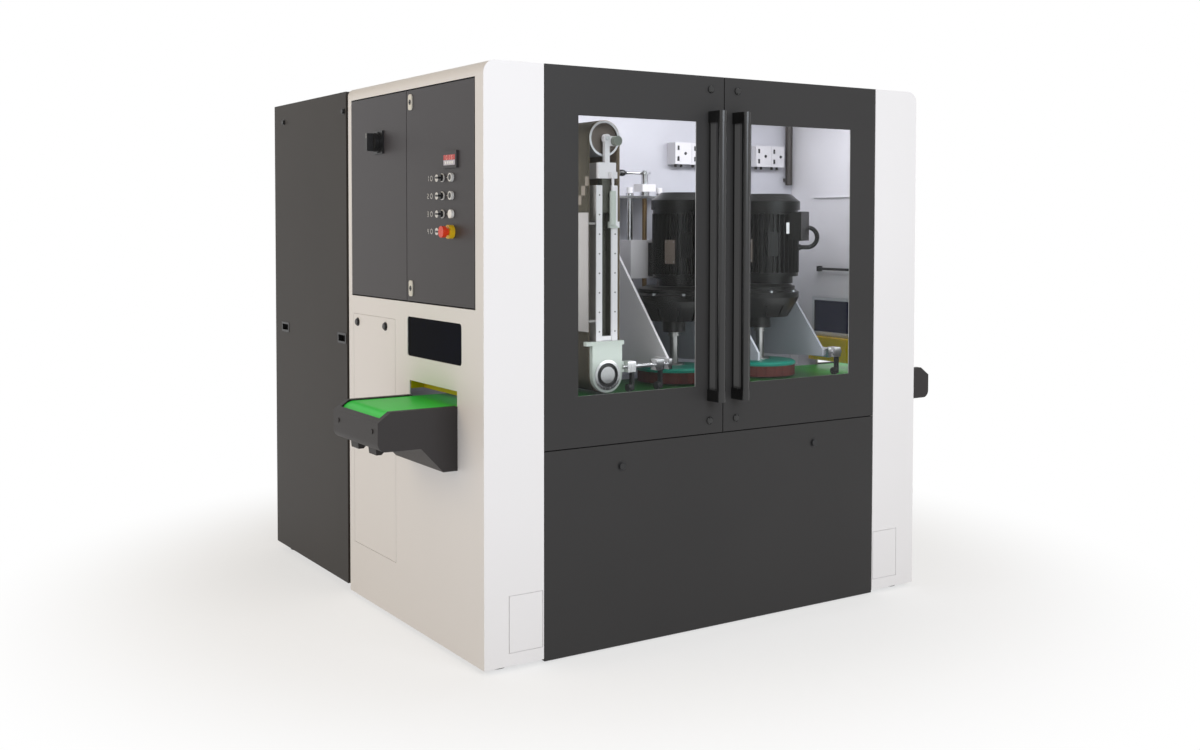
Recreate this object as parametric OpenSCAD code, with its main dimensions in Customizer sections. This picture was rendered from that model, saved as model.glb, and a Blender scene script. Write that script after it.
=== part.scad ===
// Sheet metal deburring machine: a feed belt carries plates under a belt grinding unit and two disc units.
// Millimetres, +Z up. X runs with the feed, Y from the front doors to the rear.
// The origin is on the floor under the middle of the machine.

/* [Machine] */
// Width over the two side shells
machine_w = 2028; // [1980:2:2120]
// Height over the doors and side shells
machine_h = 2065; // [2055:1:2120]
// Depth of the white front section
front_depth = 1192; // [1180:2:1260]
// Depth of the dark rear section
rear_depth = 864; // [600:4:1000]
// Gap between the floor and the side shells
floor_gap = 15; // [12:1:30]
// Thickness of the sheet metal
sheet = 3; // [2:0.5:3.5]
// Radius of the roof edge of each side shell
roof_edge_r = 45; // [30:1:46]
// Radius of the rear edge of each side shell
rear_edge_r = 30; // [20:1:40]
// Width of the white column beside the doors
column_w = 233; // [225:1:240]

/* [Front doors] */
// Thickness of each folded door
door_thick = 28; // [25:1:32]
// Height of the doors' lower edge above the floor
door_bottom_z = 737; // [700:1:760]
// Width of each window
window_w = 511; // [400:1:530]
// Height of each window
window_h = 978; // [800:1:1000]
// Height of the window above the door's lower edge
window_sill = 180; // [150:1:200]
// Distance from the doors' seam to the nearest window edge
window_seam = 131; // [115:1:140]
// Thickness of the clear panes
pane_t = 5; // [4:0.5:8]
// Length of the bar handles
handle_len = 1075; // [800:5:1100]
// Diameter of the bar of a handle
handle_d = 32; // [26:1:36]
// How far the handles stand out from the doors
handle_reach = 78; // [70:1:90]

/* [Feed belt] */
// Height of the belt's upper face above the floor
belt_top_z = 882; // [876:1:884]
// Width of the belt
belt_w = 340; // [300:2:344]
// Distance from the machine's front to the middle of the belt
line_y = 391; // [388:1:394]
// Radius of the two belt rollers
feed_roller_r = 48; // [40:1:48]
// Reach of the infeed and outfeed noses beyond the side shells
nose_reach = 297; // [280:1:330]

/* [Grinding units] */
// Opening under the abrasives in their rest position
work_gap = 8; // [7:0.5:14]
// Place of the first disc unit along the feed
disc_1_x = 58; // [50:1:66]
// Place of the second disc unit along the feed
disc_2_x = 506; // [500:1:520]
// Diameter of the abrasive discs
disc_d = 300; // [240:2:310]
// Radius over the fins of the disc motors
motor_r = 127; // [115:1:130]
// Radius of the bell housings' flange under the motors
bell_r = 162; // [150:1:163]
// Place of the belt grinding unit along the feed
grinder_x = -400; // [-420:1:-380]
// Radius of the contact roller and the tension roller
contact_r = 66; // [60:1:68]
// Height of the tension roller's axis above the floor
tension_z = 1834; // [1820:1:1850]
// Width of the abrasive belt
abrasive_w = 370; // [330:2:374]

/* [Control cabinet] */
// Depth of the control cabinet
cabinet_depth = 227; // [200:1:228]
// Distance from the machine's front to the cabinet opening
cabinet_y0 = 59; // [58:1:64]
// Distance from the machine's front to the rear end of the cabinet opening
cabinet_y1 = 1135; // [1120:1:1136]
// Distance from the machine's front to the seam of the cabinet doors
cabinet_seam_y = 605; // [590:1:620]
// Height of the lower edge of the cabinet opening
cabinet_z0 = 1228; // [1224:1:1240]
// Height of the upper edge of the cabinet opening
cabinet_z1 = 2013; // [2000:1:2014]

/* [Hidden] */
$fn = 48;

// Clearances
overrun = 1;
weld_gap = 0.2;
run_gap = 0.3;
shaft_fit = 0.05;
panel_gap = 2;
door_gap = 3;
seam_gap = 4;

// Overall planes, measured from the middle of the front face and from the floor
louvre_reach = 12;
half_w = machine_w / 2;
total_depth = front_depth + rear_depth;
y_front = (handle_reach - total_depth - louvre_reach) / 2;
wall_x = half_w - sheet;
column_x = half_w - column_w;
rear_drop = 10;
rear_top_z = machine_h - rear_drop;
rear_lift = 19;
rear_z0 = floor_gap + rear_lift;

// Frame tubes
post_w = 40;
base_w = 60;
tube_wall = 4;
base_lift = 5;
frame_inset = 49;
frame_clear = 4;
frame_x1 = half_w - frame_inset;
frame_x0 = frame_x1 - post_w;
frame_y = door_thick + frame_clear;
base_z0 = floor_gap + base_lift;
base_z1 = base_z0 + base_w;
top_z1 = machine_h - sheet;
top_z0 = top_z1 - post_w;
mid_post_y = front_depth - sheet - post_w;
rear_post_y = total_depth - sheet - post_w;

// Chamber
back_y = 765;
back_t = 12;
back_post_y = back_y + back_t;
bed_tube_drop = 137;
bed_tube_z1 = belt_top_z - bed_tube_drop;
bed_tube_z0 = bed_tube_z1 - post_w;

// Feed belt and its bed
belt_t = 2;
rail_t = 8;
rail_gap = 6;
rail_y = belt_w / 2 + rail_gap;
feed_inner_r = feed_roller_r + run_gap;
feed_axis_z = belt_top_z - belt_t - feed_inner_r;
nose_clear = 67;
feed_axis_x = half_w + nose_reach - nose_clear;
feed_shaft_r = 15;

// Nose covers
cover_rise = 4;
cover_side = 194.5;
cover_y0 = line_y - cover_side - sheet;
cover_y1 = line_y + cover_side + sheet;

// Slot through the side shells
slot_head = 57;
slot_z1 = belt_top_z + slot_head;
slot_y0 = line_y - cover_side;
slot_y1 = line_y + cover_side;

// Side windows
side_win_y0 = 162;
side_win_y1 = 604;
side_win_z0 = 1029;
side_win_z1 = 1175;
side_win_r = 14;
side_lap = 12;

// Cabinet
cab_gap = 5;
cab_door_t = 20;
cab_back_x = half_w - sheet - cabinet_depth;
cab_margin = 9;
cab_y0 = cabinet_y0 - cab_margin;
cab_y1 = cabinet_y1 + cab_margin;
cab_z0 = cabinet_z0 - cab_margin;
cab_lid = 6;
cab_zt = cabinet_z1 + cab_lid;
door_face_x = -half_w;

// Hinges: how far the axis lies from the door's edge and from its outer face
hinge_edge = 12;
hinge_in = 8.5;
pin_r = 3.5;
eye_r = 5;
knuckle_r = 5.8;
knuckle_h = 18;
arm_t = 8;
pin_len = 40;
front_hinge_z = [door_bottom_z + 120, (door_bottom_z + machine_h) / 2, machine_h - 120];
cab_hinge_z = [cabinet_z0 + 90, cabinet_z1 - 90];

// Grinding units
disc_t = 43;
hub_t = 20;
disc_z0 = belt_top_z + work_gap;
disc_z1 = disc_z0 + disc_t;
hub_z1 = disc_z1 + hub_t;
spindle_r = 17.5;
neck_z = 1085;
bell_h = 215;
body_z = neck_z + bell_h;
body_h = 275;
cowl_h = 69;
cowl_z = body_z + body_h;
slide_y = 600;
rod_off = 75;
rod_r = 12.5;
screw_r = 10;
block_x = 96;
block_y0 = 560;
block_y1 = 640;
block_z0 = 1294;
block_z1 = 1451;
gusset_off = 167;
gusset_t = 10;
top_plate_x = 160;
top_plate_z = 1623;
top_plate_t = 10;
abrasive_t = 2;
loop_r = contact_r + run_gap;
contact_z = belt_top_z + work_gap + abrasive_t + loop_r;
abrasive_y0 = 205;
abrasive_y1 = abrasive_y0 + abrasive_w;
contact_shaft_r = 15;
tension_shaft_r = 8;

// Boxes and rods between two coordinates
module span(a, b) translate(a) cube(b - a);
module rod_x(x0, x1, y, z, r) translate([x0, y, z]) rotate([0, 90, 0]) cylinder(r = r, h = x1 - x0);
module rod_y(y0, y1, x, z, r) translate([x, y0, z]) rotate([-90, 0, 0]) cylinder(r = r, h = y1 - y0);
module rod_z(z0, z1, x, y, r) translate([x, y, z0]) cylinder(r = r, h = z1 - z0);
// An outline in X and Z, drawn from y0 to y1
module plate_xz(y0, y1) translate([0, y1, 0]) rotate([90, 0, 0]) linear_extrude(y1 - y0) children();
// An outline in Y and Z, drawn from x0 to x1
module plate_yz(x0, x1) translate([x0, 0, 0]) rotate([90, 0, 90]) linear_extrude(x1 - x0) children();
module both_sides() {
  children();
  mirror([1, 0, 0]) children();
}
module from_front() translate([0, y_front, 0]) children();
module round_plate(a, b, r) {
  translate([a.x + r, a.y]) square([b.x - a.x - 2 * r, b.y - a.y]);
  translate([a.x, a.y + r]) square([b.x - a.x, b.y - a.y - 2 * r]);
  for (x = [a.x + r, b.x - r], y = [a.y + r, b.y - r]) translate([x, y]) circle(r);
}

// Square tube between two corners, open along one axis
module tube(a, b, along) {
  longer = along * overrun;
  inner = ([1, 1, 1] - along) * tube_wall;
  difference() {
    span(a, b);
    span(a - longer + inner, b + longer - inner);
  }
}
X = [1, 0, 0];
Y = [0, 1, 0];
Z = [0, 0, 1];

bed_tube_x = 600;

// Welded frame of square tubes
module machine_frame() color("gainsboro") from_front() {
  base_x0 = frame_x1 - base_w;
  post_z0 = base_z1 + weld_gap;
  post_z1 = top_z0 - weld_gap;
  base_ys = [frame_y, back_post_y - tube_wall, front_depth - sheet - base_w,
    total_depth - sheet - base_w];
  both_sides() {
    tube([base_x0, sheet + back_flange_t + weld_gap, base_z0], [frame_x1, total_depth - sheet,
      base_z1], Y);
    for (y = [sheet, mid_post_y]) tube([frame_x0, y, post_z0], [frame_x1, y + post_w, post_z1], Z);
    tube([frame_x0, rear_post_y, post_z0], [frame_x1, rear_post_y + post_w, rear_top_z - sheet], Z);
    for (y = [frame_y, back_post_y])
      tube([column_x - post_w, y, post_z0], [column_x, y + post_w, post_z1], Z);
    tube([frame_x0, sheet, top_z0], [frame_x1, mid_post_y + post_w, top_z1], Y);
    tube([frame_x0, front_depth + weld_gap, rear_top_z - sheet - post_w],
      [frame_x1, rear_post_y - weld_gap, rear_top_z - sheet], Y);
  }
  for (y = base_ys)
    tube([-base_x0 + weld_gap, y, base_z0], [base_x0 - weld_gap, y + base_w, base_z1], X);
  for (y = [frame_y, back_post_y, mid_post_y])
    tube([-frame_x0 + weld_gap, y, top_z0], [frame_x0 - weld_gap, y + post_w, top_z1], X);
  tube([-frame_x0 + weld_gap, rear_post_y, rear_top_z - sheet - post_w],
    [frame_x0 - weld_gap, rear_post_y + post_w, rear_top_z - sheet], X);
  for (y = [frame_y, back_post_y])
    tube([-column_x + post_w + weld_gap, y, bed_tube_z0], [column_x - post_w - weld_gap, y + post_w,
      bed_tube_z1], X);
  for (x = [-bed_tube_x, 0, bed_tube_x])
    tube([x - post_w / 2, frame_y + post_w + weld_gap, bed_tube_z0],
      [x + post_w / 2, back_post_y - weld_gap, bed_tube_z1], Y);
}

foot_r = 38;
foot_t = 8;
foot_neck_r = 12;
foot_in = 70;

// Six levelling feet under the base tubes
module levelling_feet() color("dimgray") from_front()
  for (x = [-1, 1], y = [foot_in, front_depth - foot_in, total_depth - foot_in])
    translate([x * (frame_x1 - base_w / 2), y, 0]) {
      cylinder(r = foot_r, h = foot_t);
      cylinder(r = foot_neck_r, h = base_z0);
    }

return_depth = 60;
edge_flange = frame_inset + post_w;
panel_y0 = 712;
panel_y1 = 1120;
panel_z0 = 225;
panel_z1 = 1157;
foot_cover_x0 = 785;
foot_cover_x1 = 919;
foot_cover_z0 = 58;
foot_cover_z1 = 256;

// Solid in the outer form of a side shell, drawn in from its faces by a distance
module shell_block(inset, wide) {
  low_z = inset == 0 ? floor_gap : floor_gap - overrun;
  intersection() {
    plate_xz(inset, front_depth - inset) {
      r = roof_edge_r - inset;
      translate([-half_w + inset, low_z]) square([wide - inset, machine_h - r - inset - low_z]);
      translate([-half_w + inset + r, low_z]) square([wide - inset - r, machine_h - inset - low_z]);
      translate([-half_w + inset + r, machine_h - inset - r]) circle(r);
    }
    translate([0, 0, low_z]) linear_extrude(machine_h) {
      r = rear_edge_r - inset;
      translate([-half_w + inset, inset]) square([wide - inset, front_depth - r - 2 * inset]);
      translate([-half_w + inset + r, inset]) square([wide - inset - r, front_depth - 2 * inset]);
      translate([-half_w + inset + r, front_depth - inset - r]) circle(r);
    }
  }
}

// Side shell with its column, seen from the infeed side
module side_shell(cabinet) {
  difference() {
    shell_block(0, column_w);
    shell_block(sheet, column_w + overrun);
    span([-half_w + edge_flange, sheet, floor_gap], [-column_x + overrun, front_depth + overrun,
      machine_h + overrun]);
    span([-frame_x1 - panel_gap, front_depth - sheet - overrun, floor_gap - overrun],
      [-half_w + edge_flange + overrun, front_depth + overrun, base_z1 + panel_gap]);
    plate_yz(-half_w - overrun, -wall_x + overrun) {
      if (cabinet) translate([cabinet_y0, cabinet_z0])
        square([cabinet_y1 - cabinet_y0, cabinet_z1 - cabinet_z0]);
      round_plate([side_win_y0, side_win_z0], [side_win_y1, side_win_z1], side_win_r);
      translate([slot_y0, nose_low_z + sheet]) square([slot_y1 - slot_y0, slot_z1 - nose_low_z - sheet]);
      translate([panel_y0, panel_z0]) square([panel_y1 - panel_y0, panel_z1 - panel_z0]);
    }
    span([-foot_cover_x1, -overrun, foot_cover_z0], [-foot_cover_x0, sheet + overrun, foot_cover_z1]);
  }
  span([-column_x - sheet, sheet, base_z1 + panel_gap], [-column_x, return_depth, top_z0 - weld_gap]);
}
module left_side_shell() color("whitesmoke") from_front() side_shell(true);
module right_side_shell() color("whitesmoke") from_front() mirror(X) side_shell(false);

// Roof sheet between the two side shells
module roof_panel() color("whitesmoke") from_front() {
  x = half_w - edge_flange - weld_gap;
  span([-x, frame_y, top_z1], [x, front_depth, machine_h]);
  both_sides() span([-x, sheet, top_z1], [-column_x, frame_y, machine_h]);
}

panel_hang = 9;
panel_top_drop = 4;

// Lower front panel with its folded returns
module lower_front_panel() color("dimgray") from_front() {
  x = column_x - door_gap;
  z0 = floor_gap - panel_hang;
  z1 = door_bottom_z - panel_top_drop;
  difference() {
    span([-x, 0, z0], [x, frame_y, z1]);
    span([-x + sheet, sheet, z0 + sheet], [x - sheet, frame_y + overrun, z1 - sheet]);
  }
}

knob_r = 13;
knob_h = 9;
knob_ring_r = 17;
knob_ring_h = 2;
side_screw_r = 10;
grip_y = [1245, 1925];
grip_z = 1045;
grip_w = 90;
grip_h = 44;
grip_depth = 22;
grip_rim = 6;
side_screw_y = [1217, 1930];
side_screw_z = 1976;
panel_knob_y = [804, 1076];
panel_knob_z = 1123;
quarter_x = 458;
quarter_z = 653;

// Round knob with its ring, standing on the plane Z = 0
module round_knob(r) {
  cylinder(r = knob_ring_r * r / knob_r, h = knob_ring_h);
  cylinder(r = r, h = knob_h - knob_ring_h);
  translate([0, 0, knob_h - knob_ring_h]) cylinder(r1 = r, r2 = r - knob_ring_h, h = knob_ring_h);
}

// Black knobs, screws and recessed grips of the panels
module panel_fittings() color("black") from_front() {
  for (x = [-quarter_x, quarter_x]) translate([x, 0, quarter_z]) rotate([90, 0, 0]) round_knob(knob_r);
  both_sides() {
    for (y = panel_knob_y) translate([-half_w, y, panel_knob_z]) rotate([0, -90, 0]) round_knob(knob_r);
    for (y = side_screw_y) translate([-half_w, y, side_screw_z]) rotate([0, -90, 0])
      round_knob(side_screw_r);
    for (y = grip_y) difference() {
      union() {
        span([-half_w - knob_ring_h, y - grip_w / 2, grip_z - grip_h / 2],
          [-half_w, y + grip_w / 2, grip_z + grip_h / 2]);
        span([-half_w, y - grip_w / 2 + grip_rim, grip_z - grip_h / 2 + grip_rim],
          [-half_w + grip_depth, y + grip_w / 2 - grip_rim, grip_z + grip_h / 2 - grip_rim]);
      }
      span([-half_w - knob_ring_h - overrun, y - grip_w / 2 + grip_rim + sheet,
        grip_z - grip_h / 2 + grip_rim + sheet],
        [-half_w + grip_depth - sheet, y + grip_w / 2 - grip_rim - sheet,
          grip_z + grip_h / 2 - grip_rim - sheet]);
    }
  }
}

cover_lap = 11;
back_flange_t = 2;

// Foot covers in the columns and access panels in the side shells
module service_covers() color("white") from_front() both_sides() {
  span([-foot_cover_x1 + panel_gap, 0, foot_cover_z0 + panel_gap], [-foot_cover_x0 - panel_gap, sheet,
    foot_cover_z1 - panel_gap]);
  span([-foot_cover_x1 + panel_gap, sheet, foot_cover_z0 - cover_lap],
    [-foot_cover_x0 - panel_gap, sheet + back_flange_t, foot_cover_z1 + cover_lap]);
  span([-half_w, panel_y0 + panel_gap, panel_z0 + panel_gap], [-wall_x, panel_y1 - panel_gap,
    panel_z1 - panel_gap]);
  span([-wall_x, panel_y0 + panel_gap, panel_z0 - cover_lap],
    [-wall_x + back_flange_t, panel_y1 - panel_gap, panel_z1 + cover_lap]);
}

// Dark panes of the two side windows
module side_window_panes() color("midnightblue") from_front() both_sides()
  span([-wall_x, side_win_y0 - side_lap, side_win_z0 - side_lap], [-wall_x + pane_t,
    side_win_y1 + side_lap, side_win_z1 + side_lap]);

// Panels of the rear section: sides, roof, and the rear sheet with two banks of pressed louvres
module rear_panels() color("dimgray") from_front() {
  rear_side_panels();
  rear_panel();
}
module rear_side_panels() {
  y0 = front_depth + weld_gap;
  y1 = total_depth - sheet - weld_gap;
  z1 = rear_top_z - sheet - weld_gap;
  both_sides() {
    difference() {
      span([-half_w, y0, rear_z0], [-wall_x, y1, z1]);
      for (y = grip_y)
        span([-half_w - overrun, y - grip_w / 2 + grip_rim - weld_gap,
          grip_z - grip_h / 2 + grip_rim - weld_gap],
          [-wall_x + overrun, y + grip_w / 2 - grip_rim + weld_gap,
            grip_z + grip_h / 2 - grip_rim + weld_gap]);
    }
    span([-wall_x, y1 - sheet, rear_z0], [-frame_x1, y1, z1]);
    span([-wall_x, y0, rear_z0], [-frame_x1, y0 + sheet, z1]);
  }
  span([-half_w, y0, rear_top_z - sheet], [half_w, y1, rear_top_z]);
}

louvre_n = 12;
louvre_z0 = 820;
louvre_pitch = 41;
louvre_w = 560;
louvre_h = 22;
louvre_off = 340;

module rear_panel() {
  y = total_depth;
  difference() {
    span([-half_w, y - sheet, rear_z0], [half_w, y, rear_top_z]);
    for (side = [-1, 1], i = [0 : louvre_n - 1])
      translate([side * louvre_off, 0, louvre_z0 + i * louvre_pitch])
        span([-louvre_w / 2 + sheet, y - sheet - overrun, 0], [louvre_w / 2 - sheet, y + overrun,
          louvre_h - 2 * sheet]);
  }
  for (side = [-1, 1], i = [0 : louvre_n - 1])
    translate([side * louvre_off, 0, louvre_z0 + i * louvre_pitch]) difference() {
      plate_yz(-louvre_w / 2, louvre_w / 2) polygon([[y, 0], [y + louvre_reach, 0], [y + louvre_reach,
        sheet], [y, louvre_h]]);
      plate_yz(-louvre_w / 2 + sheet, louvre_w / 2 - sheet)
        polygon([[y - overrun, -overrun], [y + louvre_reach - sheet, -overrun], [y + louvre_reach - sheet,
          sheet / 2],
          [y - overrun, louvre_h - 2 * sheet]]);
    }
}

back_z0 = 750;
shaft_hole_r = 24;

// Steel plate behind the grinding chamber that carries the units
module chamber_back_plate() color("silver") from_front() difference() {
  plate_xz(back_y, back_y + back_t) {
    edge_x = wall_x - back_flange_t - panel_gap;
    translate([-cab_back_x + 2 * sheet, back_z0]) square([cab_back_x + edge_x - 2 * sheet,
      top_z0 - back_z0 - sheet]);
    translate([-edge_x, back_z0]) square([edge_x, cab_z0 - sheet - back_z0]);
  }
  rod_y(back_y - overrun, back_y + back_t + overrun, grinder_x, contact_z, shaft_hole_r);
}

ledge_z = 1636;
ledge_w = 10;
ledge_y1 = 604;
tray_z0 = 866;
duct_x = 964;
duct_y = 735;
duct_r = 16;
duct_z0 = 1696;
service_w = 88;
service_d = 60;
service_z0 = 1776;
service_z1 = 1870;
service_x = [293, 744];
service_gap = 6;
clip_h = 12;
rail_rod_z = 1316;
rail_rod_r = 6;
rail_rod_y0 = 320;
rail_rod_y1 = 560;
rail_stand = 24;

// Opening in a liner round the side window and the feed slot
module liner_opening() {
  round_plate([side_win_y0 - side_lap - panel_gap, side_win_z0 - side_lap - panel_gap],
    [side_win_y1 + side_lap + panel_gap, side_win_z1 + side_lap + panel_gap], panel_gap);
  translate([slot_y0 - sheet, nose_low_z]) square([slot_y1 - slot_y0 + 2 * sheet, slot_z1 - nose_low_z]);
  translate([panel_y0, bed_tube_z0]) square([back_y - panel_y0 + overrun,
    panel_z1 + 2 * cover_lap - bed_tube_z0]);
}

// Inner panels of the chamber, with its trays, duct, air rail and service boxes
module chamber_liner() color("lightsteelblue") from_front() {
  x = wall_x - sheet;
  difference() {
    union() {
      span([x, return_depth + sheet, bed_tube_z1], [wall_x, back_y, top_z0 - sheet]);
      span([x - ledge_w, return_depth + sheet, ledge_z], [x, ledge_y1, ledge_z + sheet]);
    }
    plate_yz(x - overrun, wall_x + overrun) liner_opening();
  }
  difference() {
    span([-wall_x, return_depth + sheet, bed_tube_z1], [-x, back_y, cab_z0 - sheet]);
    plate_yz(-wall_x - overrun, -x + overrun) liner_opening();
  }
  for (ys = [[return_depth + 2 * post_w, line_y - rail_y - rail_t - run_gap],
    [line_y + rail_y + rail_t + run_gap, back_y]])
    span([-x, ys[0], tray_z0], [x - ledge_w, ys[1], tray_z0 + sheet]);
  rod_z(duct_z0, top_z0 - sheet, duct_x, duct_y, duct_r);
  span([duct_x - duct_r / 2, duct_y, duct_z0 + duct_r], [duct_x + duct_r / 2, back_y,
    duct_z0 + 2 * duct_r]);
  for (x0 = service_x, i = [0, 1]) {
    box_x = x0 + i * (service_w + service_gap);
    span([box_x, back_y - service_d + i * service_gap, service_z0],
      [box_x + service_w - i * 2 * service_gap, back_y, service_z1]);
    for (k = [0.25, 0.6])
      rod_z(service_z0 - clip_h, service_z0, box_x + k * service_w, back_y - service_d / 2, service_gap);
  }
  for (y = [rail_rod_y0, rail_rod_y1]) span([x - rail_stand, y - clip_h / 2, rail_rod_z - clip_h],
    [x, y + clip_h / 2, rail_rod_z + clip_h]);
  rod_y(rail_rod_y0, rail_rod_y1, x - rail_stand + rail_rod_r, rail_rod_z, rail_rod_r);
}

brace_x = 600;
brace_r = 14;
nose_rail_drop = 40;
nose_rail_rise = 38;
rail_top_drop = 4;
rail_end = 44;
slider_t = 4;

// Bed of the feed belt: two rails, slider plate and braces
module conveyor_bed() color("slategray") from_front() difference() {
  union() {
    for (side = [-1, 1]) {
      y0 = line_y + side * (rail_y + rail_t / 2) - rail_t / 2;
      plate_xz(y0, y0 + rail_t) both_rails_outline();
    }
    x = feed_axis_x - feed_roller_r - rail_gap;
    z = belt_top_z - belt_t - run_gap;
    span([-x, line_y - rail_y, z - slider_t], [x, line_y + rail_y, z]);
    for (x = [-brace_x, 0, brace_x]) rod_y(line_y - rail_y, line_y + rail_y, x, feed_axis_z, brace_r);
  }
  for (x = [-feed_axis_x, feed_axis_x])
    rod_y(line_y - rail_y - rail_t - overrun, line_y + rail_y + rail_t + overrun, x, feed_axis_z,
      feed_shaft_r + shaft_fit);
}
module both_rails_outline() {
  end_x = feed_axis_x + rail_end;
  in_x = wall_x - sheet - rail_stand;
  top = belt_top_z - rail_top_drop;
  polygon([[-in_x, bed_tube_z1], [in_x, bed_tube_z1], [in_x, feed_axis_z - nose_rail_drop],
    [end_x - nose_rail_drop, feed_axis_z - nose_rail_drop], [end_x, feed_axis_z],
      [end_x, feed_axis_z + cover_lap],
    [end_x - nose_rail_rise, top], [nose_rail_rise - end_x, top], [-end_x, feed_axis_z + cover_lap],
      [-end_x, feed_axis_z],
    [nose_rail_drop - end_x, feed_axis_z - nose_rail_drop], [-in_x, feed_axis_z - nose_rail_drop]]);
}

// Outline of a flat loop round two equal rollers on a level line
module loop_outline(half_length, r) {
  translate([-half_length, -r]) square([2 * half_length, 2 * r]);
  for (x = [-half_length, half_length]) translate([x, 0]) circle(r);
}

// Green feed belt
module feed_belt() color("limegreen") from_front() difference() {
  plate_xz(line_y - belt_w / 2, line_y + belt_w / 2)
    translate([0, feed_axis_z]) loop_outline(feed_axis_x, feed_inner_r + belt_t);
  plate_xz(line_y - belt_w / 2 - overrun, line_y + belt_w / 2 + overrun)
    translate([0, feed_axis_z]) loop_outline(feed_axis_x, feed_inner_r);
}

shaft_stub = 5;

// Belt roller with its shaft
module feed_roller(x) color("silver") from_front() {
  rod_y(line_y - belt_w / 2, line_y + belt_w / 2, x, feed_axis_z, feed_roller_r);
  rod_y(line_y - rail_y - rail_t - shaft_stub, line_y + rail_y + rail_t + shaft_stub, x, feed_axis_z,
    feed_shaft_r);
}
module drive_roller() feed_roller(feed_axis_x);
module idler_roller() feed_roller(-feed_axis_x);

nose_flat = 250;
nose_face_top = 34;
nose_low = 134;
nose_foot = 220;
nose_knee = 139;
nose_toe = 55;
nose_bottom_r = 30;
nose_border = 26;
nose_open_share = 0.62;
nose_screw_r = 8;
nose_screw_in = 48;
nose_top_z = belt_top_z + cover_rise;
nose_low_z = nose_top_z - nose_foot - sheet;
clip_w = 64;
clip_drop = 24;
clip_reach = 52;
clip_y = 78;

// Side outline of a nose cover, measured from the side shell and drawn in by a distance
function arc(cx, cy, r, a0, a1, n) = [for (i = [0 : n]) let (a = a0 + (a1 - a0) * i / n) [cx + r * cos(a),
  cy + r * sin(a)]];
function cover_outline(k) =
  let (top = nose_top_z, face_z = top - nose_face_top, low = top - nose_low, foot = nose_low_z,
    slope = atan(nose_face_top / (nose_reach - nose_flat)), drop = atan((low - foot)
      / (nose_knee - nose_toe)))
  concat([[0, foot + k], [nose_toe - k * tan(drop / 2), foot + k], [nose_knee - k * tan(drop / 2),
    low + k]],
    arc(nose_reach - nose_bottom_r, low + nose_bottom_r, nose_bottom_r - k, -90, 0, 6),
    [[nose_reach - k, face_z - k * tan((90 - slope) / 2)], [nose_flat - k * tan(slope / 2), top - k],
      [0, top - k]]);

// Folded sheet cover over the end of the feed belt
module nose_cover() {
  translate([half_w, 0, 0]) {
    difference() {
      plate_xz(cover_y0, cover_y1) polygon(cover_outline(0));
      plate_xz(cover_y0 + sheet, cover_y1 - sheet) polygon(cover_outline(sheet));
      span([-overrun, cover_y0 + sheet, nose_low_z + sheet], [overrun + sheet, cover_y1 - sheet,
        nose_top_z - sheet]);
      span([-overrun, cover_y0 + nose_border, nose_top_z - nose_face_top - sheet],
        [nose_flat + nose_open_share * (nose_reach - nose_flat), cover_y1 - nose_border,
          nose_top_z + overrun]);
    }
    for (y = [cover_y0 + nose_screw_in, cover_y1 - nose_screw_in])
      rod_x(nose_reach, nose_reach + sheet, y, nose_top_z - nose_low / 2, nose_screw_r);
    for (side = [-1, 1]) {
      y = line_y + side * clip_y;
      plate_xz(y - clip_w / 2, y + clip_w / 2)
        polygon([[nose_reach - nose_bottom_r, nose_top_z - nose_low], [nose_reach - nose_bottom_r - sheet,
          nose_top_z - nose_low - clip_drop],
          [nose_reach - clip_reach, nose_top_z - nose_low - clip_drop],
            [nose_reach - clip_reach - clip_drop, nose_top_z - nose_low]]);
    }
  }
}
module outfeed_cover() color("dimgray") from_front() nose_cover();
module infeed_cover() color("dimgray") from_front() mirror(X) nose_cover();

guard_depth = 52;
guard_drop = 31;
guard_rise = 71;

// Yellow guards inside the two feed slots
module slot_guards() color("gold") from_front() both_sides() {
  x0 = wall_x - sheet - guard_depth;
  x1 = wall_x - sheet;
  z0 = slot_z1 - guard_drop;
  z1 = slot_z1 + guard_rise;
  span([x0, slot_y0, z0], [x0 + sheet, slot_y1, z1]);
  span([x0 + sheet, slot_y0, z1 - sheet], [x1, slot_y1, z1]);
  for (y = [slot_y0, slot_y1 - sheet]) span([x0 + sheet, y, z0], [x1, y + sheet, z1 - sheet]);
}

// Control cabinet: a box that opens to the infeed side
module cabinet_box() color("lightgray") from_front() difference() {
  span([-wall_x, cab_y0, cab_z0], [-cab_back_x, cab_y1, cab_zt]);
  span([-wall_x - overrun, cab_y0 + sheet, cab_z0 + sheet], [-cab_back_x - sheet, cab_y1 - sheet,
    cab_zt - sheet]);
}

gear_margin = 50;
gear_plate_t = 4;
din_t = 8;
din_h = 35;
duct_h = 30;
duct_depth = 46;
module_gap = 5;
gear_rows_share = [0.14, 0.42, 0.68];
gear_sizes = [[90, 200, 150], [90, 200, 150], [140, 190, 120], [70, 150, 110], [70, 150, 110]];
breaker_n = 14;
breaker_w = 36;
breaker_h = 88;
breaker_d = 68;
contactor_n = 8;
contactor_w = 60;
contactor_h = 84;
contactor_d = 92;

// Row of like devices that stands on the mounting plate
module device_row(n, w, h, d, y, z, x) {
  for (i = [0 : n - 1]) {
    y0 = y + i * (w + module_gap);
    span([x - d * 0.6, y0, z - h / 2], [x, y0 + w, z + h / 2]);
    span([x - d, y0, z - h / 4], [x - d * 0.6, y0 + w, z + h / 4]);
  }
}

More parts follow.
